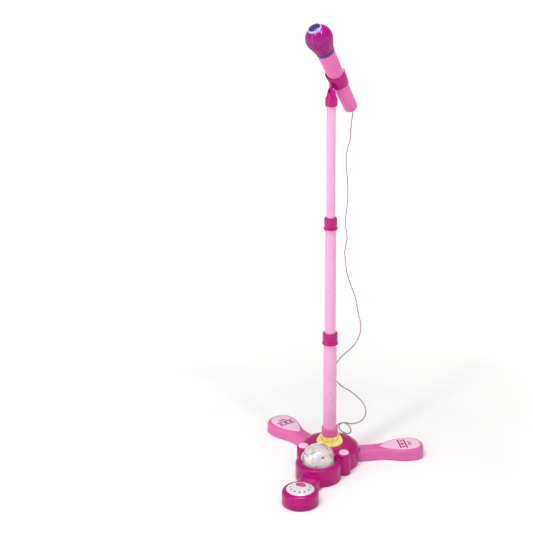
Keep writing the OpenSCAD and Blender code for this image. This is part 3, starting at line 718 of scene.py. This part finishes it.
def beads():
    """Raised lips where the dome, the panel and the jack sit in the casing."""
    for name, place, radius, height in (
        ("dome_lip", DOME, DOME_R + 1.5, LOBE_H - 0.1),
        ("panel_lip", FOOT, PANEL_R + 0.9, FOOT_H - 0.15),
    ):
        outline = arc(radius, height, 0.9, 0, 360, 12)[:-1]
        piece = lathe(name, outline, shift(place.x, place.y, 0), 128, closed=True)
        done(piece, "root", "magenta_gloss")
    bore = JACK_R + 0.1
    outline = soften([(bore, 0), (4.2, 0), (4.2, 1.1), (bore, 1.1)], 0.5, closed=True)
    place = shift(0, HUB_R - 0.6, JACK_Z) @ turn(-90, "X")
    done(lathe("jack_bush", outline, place, 48, closed=True), "root", "bright_metal")


beads()


def dome():
    """The clear cover of the crystal ball."""
    _, _, low, high = span("dome_cover")
    middle = high - DOME_R
    inner = DOME_R - 1.6
    outline = [(inner, low), (DOME_R + 2.2, low), (DOME_R + 2.2, low + 2), (DOME_R, low + 2)]
    outline += arc(0, middle, DOME_R, 0, 89.9, 48) + [(0, high)]
    outline += [(0, middle + inner)] + arc(0, middle, inner, 89.9, 0, 48)
    piece = lathe("clear_dome", outline, shift(DOME.x, DOME.y, 0), 128, closed=True)
    done(piece, "root", "clear_dome", "dome_cover")


dome()


def crystal_ball():
    """The faceted ball that turns under the dome: each facet is a low pyramid."""
    centre, radius, low, high = span("crystal_ball")
    middle = high - radius
    start = math.degrees(math.asin((low - middle) / radius))
    rows = 11
    columns = 26
    outline = arc(0, middle, radius, start, 84, rows) + [(0, high)]
    piece = lathe("faceted_ball", [(0, low)] + outline, shift(centre.x, centre.y, 0), columns)
    tool = bmesh.new()
    tool.from_mesh(piece.data)
    heart = Vector((centre.x, centre.y, middle)) * MM
    around = [f for f in tool.faces if len(f.verts) == 4]
    poked = bmesh.ops.poke(tool, faces=around)
    for vertex in poked["verts"]:
        vertex.co = heart + (vertex.co - heart).normalized() * radius * MM
    tool.to_mesh(piece.data)
    tool.free()
    done(piece, "crystal_ball", "glowing_crystal", "crystal_ball", flat=True)


crystal_ball()


def light_ring():
    """The clear amber crown round the foot of the pole, with prisms down its flank."""
    _, _, low, high = span("light_ring")
    top_r = 18.8
    bore = 16.6
    prisms = 28
    outline = [
        (bore, low), (RING_R - 0.7, low), (RING_R - 0.4, low + 1.2), (RING_R - 1.2, low + 3.2),
        (24.5, low + 7), (21.8, low + 11.2), (top_r + 0.8, high - 1.2), (top_r, high), (bore, high),
    ]

    def prism(row, angle):
        if not 2 <= row <= 6:
            return 0
        return -0.55 + 1.1 * abs(math.sin(prisms * angle / 2))

    piece = lathe("prism_ring", outline, HERE, prisms * 12, closed=True, wave=prism)
    done(piece, "root", "amber_crystal", "light_ring", sharp=20)


light_ring()


def buttons():
    """The two domed play buttons, each with a fine ring moulded in its top."""
    for side in ("left_button", "right_button"):
        centre, _, low, high = span(side)
        place = shift(centre.x, centre.y, 0)
        dome_top = crown(BUTTON_R - 6, high - 3, BUTTON_R, high, 10)[::-1]
        outline = [(0, low), (2.5, low), (2.5, low + 2.5), (BUTTON_R + 0.9, low + 2.5)]
        outline += [(BUTTON_R + 0.9, low + 5), (BUTTON_R, low + 5)] + dome_top
        outline += [(3.6, high - 0.02), (3.3, high - 0.35), (2.7, high - 0.35), (2.4, high)]
        outline += [(0, high)]
        piece = lathe(side + "_cap", outline, place, 72)
        done(piece, side, "pale_button", side)


buttons()


OVAL_A = 10.6
OVAL_B = 7.6
OVAL_Y = 3
HOLES = 12
HOLE_R = 2.05
HOLE_RING_R = 19.5


def oval(grow, steps=64):
    """The button's opening, made that much bigger all round."""
    angles = [2 * math.pi * k / steps for k in range(steps)]
    return [((OVAL_A + grow) * math.cos(t), (OVAL_B + grow) * math.sin(t)) for t in angles]


def foot_panel():
    """The domed silver panel with its ring of sound holes, and the oval button in the middle."""
    _, _, low, high = span("speaker_panel")
    rise = high - FOOT_H
    ball = (PANEL_R ** 2 + rise ** 2) / (2 * rise)
    steps = 30

    def cap(offset):
        """The top's curve, or the under side's, which lies lower by the offset."""
        radii = [PANEL_R * i / steps for i in range(steps + 1)]
        return [(r, high - offset - ball + math.sqrt(ball ** 2 - r * r)) for r in radii]

    under = cap(1.5)[::-1]
    outline = soften(cap(0)[1:] + [(PANEL_R, low)], 0.6) + under[1:-1]
    place = shift(FOOT.x, FOOT.y, 0)
    outline = [(0, high)] + outline + [(0, high - 1.5)]
    piece = lathe("silver_panel", outline, place, 120)
    holes = []
    for k in range(HOLES):
        spot = turn((k + 0.5) * 360 / HOLES, "Z") @ shift(HOLE_RING_R, 0, 0)
        holes.append(rod(HOLE_R, 20, 50, place @ spot, 24))
    well = stacked("well", [[(x, y + OVAL_Y, z) for x, y in oval(0)] for z in (20, 50)], place)
    cut(piece, well, *holes)
    done(piece, "root", "silver_plate", "speaker_panel", sharp=30)
    rim_levels = []
    for grow, z in ((0.1, 0), (0.5, 0.5), (1.2, 0.6), (1.6, 0.1)):
        level = []
        for x, y in oval(grow):
            height = high - ball + math.sqrt(ball ** 2 - x * x - (y + OVAL_Y) ** 2)
            level.append((x, y + OVAL_Y, height + z))
        rim_levels.append(level)
    done(stacked("oval_rim", rim_levels, place, ends=False), "root", "silver_plate")
    _, _, low, high = span("mode_button")
    piece = slab(
        "oval_button", oval(-0.5), low + 6.5, high - 0.3, 1.0,
        shift(FOOT.x, FOOT.y + OVAL_Y, 0), dome=0.3,
    )
    done(piece, "mode_button", "pink_button", "mode_button")


foot_panel()


# ---------- legs ----------

LEG_START = 56
LEG_TIP = 200
LEG_H = 24.5
LEG_HALF = 31
LEG_ROOT = 16
RIGHT_LEG_ANGLE = 30
LEFT_LEG_ANGLE = 34
# where the leg starts to swell, over what length, and where its round end starts
SWELL_FROM = 102
SWELL_LENGTH = 61
ROUND_FROM = 168
LEG_EDGE = 5.5
LEAF_FROM = 106
LEAF_TO = 192
LEAF_HALF = LEG_HALF - 7
# the part of the leaf's length at which it turns from pointed to square
LEAF_TURN = 0.6
STARS_AT = 155


def leg_half(x):
    """Half of the leg's width at a distance from the pole: narrow, then swelling to a round end."""
    swell = min(1, max(0, (x - SWELL_FROM) / SWELL_LENGTH))
    full = LEG_ROOT + (LEG_HALF - LEG_ROOT) * (3 * swell ** 2 - 2 * swell ** 3)
    tip = min(1, max(0, (x - ROUND_FROM) / (LEG_TIP - ROUND_FROM)))
    return full * max(0, 1 - tip ** 3) ** 0.6


def leg_outline(steps=60):
    """Outline of a leg, with its points closer together towards the tip."""
    parts = [1 - (1 - i / steps) ** 1.8 for i in range(steps)]
    xs = [LEG_START + (LEG_TIP - LEG_START) * part for part in parts]
    right = [(x, -leg_half(x)) for x in xs]
    left = [(x, leg_half(x)) for x in xs]
    return right + [(LEG_TIP, 0)] + left[::-1]


def leaf_half(t):
    """Half of the leaf's width: pointed at the root, and squarer at the outer end."""
    if t < LEAF_TURN:
        return LEAF_HALF * math.sin(math.radians(90 / LEAF_TURN * t)) ** 0.8
    return LEAF_HALF * math.sqrt(max(0, 1 - ((t - LEAF_TURN) / (1 - LEAF_TURN)) ** 4))


def leaf(grow=0.0, steps=44):
    """Outline of the leaf-shaped plate on a leg."""
    top = []
    for i in range(steps + 1):
        t = 0.5 - 0.5 * math.cos(math.pi * i / steps)
        wide = leaf_half(t) if 0 < t < 1 else 0
        top.append((LEAF_FROM + (LEAF_TO - LEAF_FROM) * t, wide))
    under = [(x, -y) for x, y in top[1:-1]]
    return inset(under + top[::-1], -grow)


def star(x, y, radius):
    """Five-pointed star outline with soft corners, and one point towards the pole."""
    points = []
    for k in range(10):
        r = radius if k % 2 == 0 else radius * 0.48
        a = math.radians(36 * k + 180)
        points.append((x + r * math.cos(a), y + r * math.sin(a)))
    return soften(points, radius * 0.16, 3, closed=True)


def leg(side, angle):
    """A leg at that angle, with its leaf-shaped plate, the plate's rim and its marks."""
    place = turn(angle, "Z")
    outline = leg_outline()
    shoulder = LEG_H - LEG_EDGE
    levels = [[(x, y, FLOOR_GAP) for x, y in inset(outline, 0.8)]]
    levels.append([(x, y, FLOOR_GAP + 0.9) for x, y in outline])
    levels.append([(x, y, shoulder) for x, y in inset(outline, 0.5)])
    for k in range(1, 9):
        a = math.pi / 2 * k / 8
        moved = inset(outline, 0.5 + LEG_EDGE * (1 - math.cos(a)))
        levels.append([(x, y, shoulder + LEG_EDGE * math.sin(a)) for x, y in moved])
    piece = stacked(side + "_leg_shell", levels, place)
    cut(piece, rod(HUB_R - 0.8, -5, 60, HERE, 128))
    done(piece, "root", "pink_satin", side + "_leg")
    rim = []
    for grow, z in ((1.8, -0.5), (1.5, 0.5), (0.9, 0.85), (0.35, 0.6), (0.2, -0.2)):
        rim.append([(x, y, LEG_H + z) for x, y in leaf(grow)])
    done(stacked(side + "_leaf_rim", rim, place, ends=False), "root", "pink_satin")
    plate = slab(side + "_leaf", leaf(), LEG_H - 0.8, LEG_H + 0.55, 0.5, place, dome=0.35)
    done(plate, "root", "pale_label", side + "_label")
    marks(side, place)


def marks(side, place):
    """Plain printed decoration on a leaf: a row of stars and bars across it."""
    top = LEG_H + 0.62
    outlines = [star(STARS_AT, y, radius) for y, radius in ((0, 6.0), (-12.5, 5.0), (12.5, 5.0))]
    for out, half, wide in ((-6.5, 18.5, 1.7), (6.5, 18.5, 1.7), (13.5, 10, 1.1), (17.5, 7, 0.9)):
        x = STARS_AT + out
        bar = [(x - wide, -half), (x + wide, -half), (x + wide, half), (x - wide, half)]
        outlines.append(soften(bar, wide * 0.8, 4, closed=True))
    for number, outline in enumerate(outlines):
        piece = slab(f"{side}_mark_{number}", outline, top - 0.3, top + 0.32, 0.06, place, steps=1)
        done(piece, "root", "magenta_gloss")


leg("left", 180 - LEFT_LEG_ANGLE)
leg("right", RIGHT_LEG_ANGLE)


# ---------- pole ----------

def pole_tube(node, body, wall, name):
    """A plain tube of the pole with softened ends."""
    _, radius, low, high = span(node)
    corners = [(radius - wall, low), (radius, low), (radius, high), (radius - wall, high)]
    piece = lathe(name, soften(corners, 0.5, closed=True), HERE, closed=True)
    done(piece, body, "pink_gloss", node)


pole_tube("lower_tube", "root", 1.9, "lower_pole")
pole_tube("middle_tube", "middle_section", 1.9, "middle_pole")
pole_tube("upper_tube", "upper_section", 2.0, "upper_pole")


def twist_collar(node, body, tube_r, inner_r):
    """A collar with a flared skirt, a waist and fine grip ribs."""
    _, _, low, high = span(node)
    wide = tube_r + 1.7
    outline = [
        (tube_r + 0.3, low), (wide + 1.2, low), (wide + 1.6, low + 0.9), (wide + 1.5, low + 2.4),
        (wide + 0.5, low + 4), (wide, low + 6), (wide - 0.35, low + 6.6), (wide - 0.35, low + 7.2),
        (wide, low + 7.8), (wide, high - 4), (wide - 0.2, high - 1.2), (wide - 1.4, high),
        (inner_r + 0.4, high), (inner_r + 0.4, high - 2.4), (tube_r + 0.3, high - 2.4),
    ]
    outline = soften(outline, 0.6, 3, closed=True)
    ribs = 30

    def rib(row, angle):
        radius, height = outline[row]
        if radius < wide - 0.3 or not low + 8.5 < height < high - 3:
            return 0
        return 0.12 * math.cos(ribs * angle)

    # rows for the ribs to rise on along the long straight flanks
    fine = []
    for a, b in zip(outline, outline[1:] + outline[:1]):
        fine.append(a)
        if abs(b[1] - a[1]) > 4:
            for t in (0.1, 0.2, 0.5, 0.8, 0.9):
                fine.append((a[0] + (b[0] - a[0]) * t, a[1] + (b[1] - a[1]) * t))
    outline = fine
    piece = lathe(node + "_shell", outline, HERE, ribs * 8, closed=True, wave=rib)
    done(piece, body, "magenta_gloss", node)


TUBE_R = {name: span(name)[1] for name in ("lower_tube", "middle_tube", "upper_tube")}
twist_collar("lower_collar", "lower_collar", TUBE_R["lower_tube"], TUBE_R["middle_tube"])
twist_collar("upper_collar", "upper_collar", TUBE_R["middle_tube"], TUBE_R["upper_tube"])


def base_collar():
    """The stepped pink collar that the pole stands in."""
    _, radius, low, high = span("base_collar")
    bore = TUBE_R["lower_tube"] + 0.1
    outline = [
        (bore, low), (radius - 0.2, low), (radius, low + 1), (radius, low + 6.6),
        (radius - 0.7, low + 7.2), (radius - 0.7, low + 8), (radius, low + 8.6),
        (radius, high - 1.5), (radius - 1.2, high), (bore, high),
    ]
    piece = lathe("stepped_collar", soften(outline, 0.6, 3, closed=True), HERE, closed=True)
    done(piece, "root", "pink_satin", "base_collar")


base_collar()


# ---------- neck and clip ----------


def neck():
    """The swivelling neck: a ferrule, a waist and the two ears of the fork."""
    _, _, low, _ = span("neck")
    outline = [
        (0, low), (11, low), (11.8, low + 1), (12, low + 3), (12, low + 12.5), (11.6, low + 15),
        (10.6, low + 17.2), (9.4, low + 19), (8.9, low + 21), (8.5, low + 23.5), (5.7, low + 33.2),
        (4.6, low + 35.6), (2.4, low + 36.9), (0, low + 37),
    ]
    piece = lathe("fork_neck", soften(outline, 1.2, 4), HERE, 96)
    along = turn(LEAN, "Z")
    slot_floor = PIVOT.z - 7
    cut(
        piece,
        rod(TUBE_R["upper_tube"] + 0.05, low - 2, low + 16.8),
        block((-15, -2.3, slot_floor), (15, 2.3, PIVOT.z + 12), along),
        rod(1.6, -12, 12, Matrix.Translation(PIVOT) @ along @ turn(90, "X"), 32),
    )
    step = piece.modifiers.new("edges", "BEVEL")
    step.width = 0.35 * MM
    step.segments = 2
    step.limit_method = "ANGLE"
    step.angle_limit = math.radians(50)
    fixed(piece)
    done(piece, "neck", "magenta_gloss", "neck")


neck()

SLEEVE_LOW = -15
SLEEVE_MID = 13.6
SLEEVE_HIGH = 20
SLEEVE_T = 1.8
RIM_TURN = -100
RIM_SLOPE = 0.25
MOUTH_HALF = 25


def sleeve_at(s):
    """Inner radius of the clip's tapered cradle at a height on the microphone's axis."""
    return 15.45 + (s - SLEEVE_LOW) * 0.062


def clip_sleeve():
    """The open cradle round the handle, with a slanted rim and rounded edges."""
    steps = 96
    levels = []
    first = MOUTH_HALF - 180
    last = 180 - MOUTH_HALF
    ends = [(0, 0.75), (0.35, 0.3), (1.0, 0)]
    stations = [(first + a * 2, pinch) for a, pinch in ends]
    stations += [(first + 3 + (last - first - 6) * k / steps, 0) for k in range(steps + 1)]
    stations += [(last - a * 2, pinch) for a, pinch in reversed(ends)]
    for angle, pinch in stations:
        a = math.radians(angle)
        middle = sleeve_at(0) + SLEEVE_T / 2
        top = SLEEVE_MID + RIM_SLOPE * middle * math.cos(a - math.radians(RIM_TURN))
        top = min(SLEEVE_HIGH, top) - pinch
        low = SLEEVE_LOW + pinch
        section = [
            (sleeve_at(low) + pinch, low), (sleeve_at(low) + SLEEVE_T - pinch, low),
            (sleeve_at(top) + SLEEVE_T - pinch, top), (sleeve_at(top) + pinch, top),
        ]
        section = soften(section, 0.8 - pinch * 0.9, 4, closed=True)
        levels.append([(r * math.cos(a), r * math.sin(a), s) for r, s in section])
    piece = stacked("cradle", levels, MIC)
    done(piece, "clip", "magenta_gloss", "clip", sharp=50)


def clip_lug():
    """The lug under the cradle, with the eye that turns on the tilt pin."""
    eye = (AXIS_GAP, -CLIP_RISE)
    eye_r = 4.2
    outline = [(sleeve_at(-12) + 0.4, -12)]
    outline += arc(eye[0], eye[1], eye_r, -98, 62, 14)
    outline += [(sleeve_at(11) + 1.2, 12)]
    flat = 1.6
    edge = 0.4
    levels = []
    near = [(flat, 0), (flat + 0.1, 0.1), (2.0, edge)]
    for depth, by in [(-depth, by) for depth, by in near[::-1]] + near:
        levels.append([(x, depth, z) for x, z in inset(outline, by)])
    piece = stacked("cradle_lug", levels, MIC)
    cut(piece, rod(1.55, -8, 8, MIC @ shift(eye[0], 0, eye[1]) @ turn(90, "X"), 32))
    done(piece, "clip", "magenta_gloss", "clip", sharp=45)


clip_sleeve()
clip_lug()


# ---------- microphone ----------

HANDLE_R = 17
TAIL_R = 13.5
HANDLE_TOP = 63
HEAD_R = 25.7
HEAD_Z = 97
GRILLE_BASE = 68.5
GRILLE_BASE_R = 17
CAP_R = 13.2


def mic_handle():
    """The tapered handle, with a fine step under the ring and a soft round tail."""
    bottom = TAIL_END
    outline = [(2.6, bottom + 6), (2.6, bottom + 0.4), (3.2, bottom)]
    outline += arc(TAIL_R - 6.5, bottom + 6.5, 6.5, -84, 0, 16)
    for t in (0.25, 0.5, 0.75):
        s = bottom + 6.5 + (HANDLE_TOP - 3 - bottom - 6.5) * t
        outline.append((TAIL_R + (HANDLE_R - 0.1 - TAIL_R) * t, s))
    outline += [
        (HANDLE_R - 0.1, HANDLE_TOP - 3.2), (HANDLE_R - 0.5, HANDLE_TOP - 2.7),
        (HANDLE_R - 0.5, HANDLE_TOP - 2.1), (HANDLE_R - 0.1, HANDLE_TOP - 1.7),
        (HANDLE_R, HANDLE_TOP - 0.3), (HANDLE_R - 2, HANDLE_TOP),
    ]
    piece = lathe("handle_shell", soften(outline, 0.3, 2), MIC, 112)
    done(piece, "microphone", "pink_satin", "mic_handle")


def mic_ring():
    """The violet ring between the handle and the head."""
    low = HANDLE_TOP
    outline = [
        (HANDLE_R - 4, low), (HANDLE_R + 0.1, low), (HANDLE_R + 0.5, low + 0.8),
        (HANDLE_R + 0.6, low + 2.6), (HANDLE_R + 0.5, low + 4.6), (HANDLE_R + 0.2, GRILLE_BASE),
        (HANDLE_R - 4, GRILLE_BASE),
    ]
    piece = lathe("violet_ring", soften(outline, 0.6, 4, closed=True), MIC, 112, closed=True)
    done(piece, "microphone", "violet_plastic", "mic_ring")


def head_outline(inwards):
    """Side of the head from its base cone round the ball to the opening at the top."""
    reach = math.hypot(GRILLE_BASE_R, HEAD_Z - GRILLE_BASE)
    start = math.degrees(
        math.acos(HEAD_R / reach) - math.atan((HEAD_Z - GRILLE_BASE) / GRILLE_BASE_R)
    )
    end = math.degrees(math.acos(CAP_R / HEAD_R))
    radius = HEAD_R - inwards
    ball = arc(0, HEAD_Z, radius, start, end, 84)
    foot = (GRILLE_BASE_R - inwards, GRILLE_BASE)
    cone = [
        (foot[0] + (ball[0][0] - foot[0]) * t / 36, foot[1] + (ball[0][1] - foot[1]) * t / 36)
        for t in range(36)
    ]
    return cone + ball


def mic_grille():
    """The translucent head, with a diamond mesh of fine raised wires round it."""
    shell = head_outline(0.25)[::2]
    piece = lathe("head_shell", shell + head_outline(1.6)[::-2], MIC, 96, closed=True)
    done(piece, "microphone", "magenta_translucent", "mic_grille", sharp=50)
    path = head_outline(0.15)[3:-3:2]
    reach = [0.0]
    for a, b in zip(path, path[1:]):
        reach.append(reach[-1] + math.dist(a, b))
    wires = 20
    sides = 6
    points = []
    faces = []
    for way in (1, -1):
        for wire in range(wires):
            start = len(points)
            for (radius, height), along in zip(path, reach):
                angle = 2 * math.pi * wire / wires + way * along / HEAD_R
                out = Vector((math.cos(angle), math.sin(angle), 0))
                across = Vector((-out.y, out.x, 0))
                for k in range(sides):
                    a = 2 * math.pi * k / sides
                    points.append(
                        out * (radius + 0.38 * math.cos(a)) + across * 0.5 * math.sin(a)
                        + Vector((0, 0, height))
                    )
            faces += bands(sides, len(path), start)
    piece = mesh_object("head_mesh", points, faces, MIC)
    done(piece, "microphone", "magenta_gloss", sharp=80)


def mic_cap():
    """The domed violet cap in the top of the head, in a paler rim."""
    seat = HEAD_Z + math.sqrt(HEAD_R ** 2 - CAP_R ** 2)
    outline = [(0, seat - 2.4), (CAP_R - 1.2, seat - 2.4), (CAP_R - 1.2, seat + 1.0)]
    outline += [(CAP_R - 2.0, seat + 2.2)]
    outline += crown(2, seat + 2.4, CAP_R - 2.2, seat + 5.6, 14)[::-1] + [(0, seat + 5.7)]
    piece = lathe("cap_dome", outline, MIC, 96)
    done(piece, "microphone", "violet_plastic", "mic_cap")
    rim = [
        (CAP_R - 1.1, seat - 1), (CAP_R + 0.3, seat - 0.6), (CAP_R + 0.5, seat + 0.8),
        (CAP_R + 0.1, seat + 2.2), (CAP_R - 1.0, seat + 3.2), (CAP_R - 1.9, seat + 3.5),
        (CAP_R - 2.1, seat + 2.4), (CAP_R - 1.3, seat + 1.2),
    ]
    piece = lathe("cap_rim", soften(rim, 0.5, 4, closed=True), MIC, 96, closed=True)
    done(piece, "microphone", "violet_plastic", look="lavender_rim")


mic_handle()
mic_ring()
mic_grille()
mic_cap()


# ---------- the remaining nodes keep their shape and get their material ----------

for part in frame["record"]["subparts"]:
    node = frame["nodes"][part["node"]]
    node.data.materials.clear()
    node.data.materials.append(MATERIALS[part["material_slot"]])


# ---------- floor and light ----------


def floor():
    """The pale floor, which gets brighter away from the stand, as a studio's sweep does."""
    size = 30000
    corners = [(-size, -size, 0), (size, -size, 0), (size, size, 0), (-size, size, 0)]
    piece = mesh_object("floor", corners, [(0, 1, 2, 3)])
    material, tree, shader = surface("pale_floor", Roughness=0.75)
    cloud = noise_node(tree, 3, 2)
    stops = [(0.2, linear("f8f7f6")), (0.8, linear("fcfcfb"))]
    tones = ramp_node(tree, cloud.outputs["Fac"], stops)
    tree.links.new(tones.outputs["Color"], shader.inputs["Base Color"])
    place = tree.nodes.new("ShaderNodeTexCoord")
    away = tree.nodes.new("ShaderNodeVectorMath")
    away.operation = "LENGTH"
    tree.links.new(place.outputs["Object"], away.inputs[0])
    glow = range_node(tree, away.outputs["Value"], 0.02, 0.66, 0.35, 1.7)
    tree.links.new(glow, shader.inputs["Emission Strength"])
    shader.inputs["Emission Color"].default_value = (1, 1, 1, 1)
    piece.data.materials.append(material)


# name, degrees from the camera, elevation, distance, width, power, height over width
LIGHTS = (
    ("key", -40, 54, 2.6, 0.6, 17, 2.0),
    ("strip", -60, 10, 1.7, 0.34, 6, 4.1),
    ("fill", 66, 20, 2.6, 0.4, 4, 3.5),
    ("top", 0, 74, 2.4, 0.6, 21, 1.0),
    ("left_glint", -38, 60, 2.4, 0.16, 8, 1.0),
    ("right_glint", 34, 62, 2.4, 0.16, 8, 1.0),
)


def area_light(name, azimuth, elevation, distance, size, power, tall):
    """A soft rectangular light that faces the middle of the pole."""
    data = bpy.data.lights.new(name, "AREA")
    data.shape = "RECTANGLE"
    data.size = size
    data.size_y = size * tall
    data.energy = power
    light = bpy.data.objects.new(name, data)
    bpy.context.scene.collection.objects.link(light)
    target = Vector((0, 0, 0.45))
    place = turn(CAMERA_AZIMUTH + azimuth, "Z") @ turn(-elevation, "X") @ Vector((0, -distance, 0))
    light.location = target + place
    light.rotation_euler = (-place).to_track_quat("-Z", "Y").to_euler()


def studio():
    """A white world just above the horizon and a softer grey higher up, and the lights."""
    world = bpy.data.worlds.new("studio")
    bpy.context.scene.world = world
    world.use_nodes = True
    tree = world.node_tree
    background = tree.nodes["Background"]
    background.inputs["Color"].default_value = (1, 1, 1, 1)
    place = tree.nodes.new("ShaderNodeTexCoord")
    parts = tree.nodes.new("ShaderNodeSeparateXYZ")
    tree.links.new(place.outputs["Generated"], parts.inputs["Vector"])
    fade = range_node(tree, parts.outputs["Z"], 0.98, 0.36, 0.08, 0.35)
    tree.links.new(fade, background.inputs["Strength"])
    for light in LIGHTS:
        area_light(*light)
    bpy.context.scene.view_settings.view_transform = "Standard"


floor()
studio()
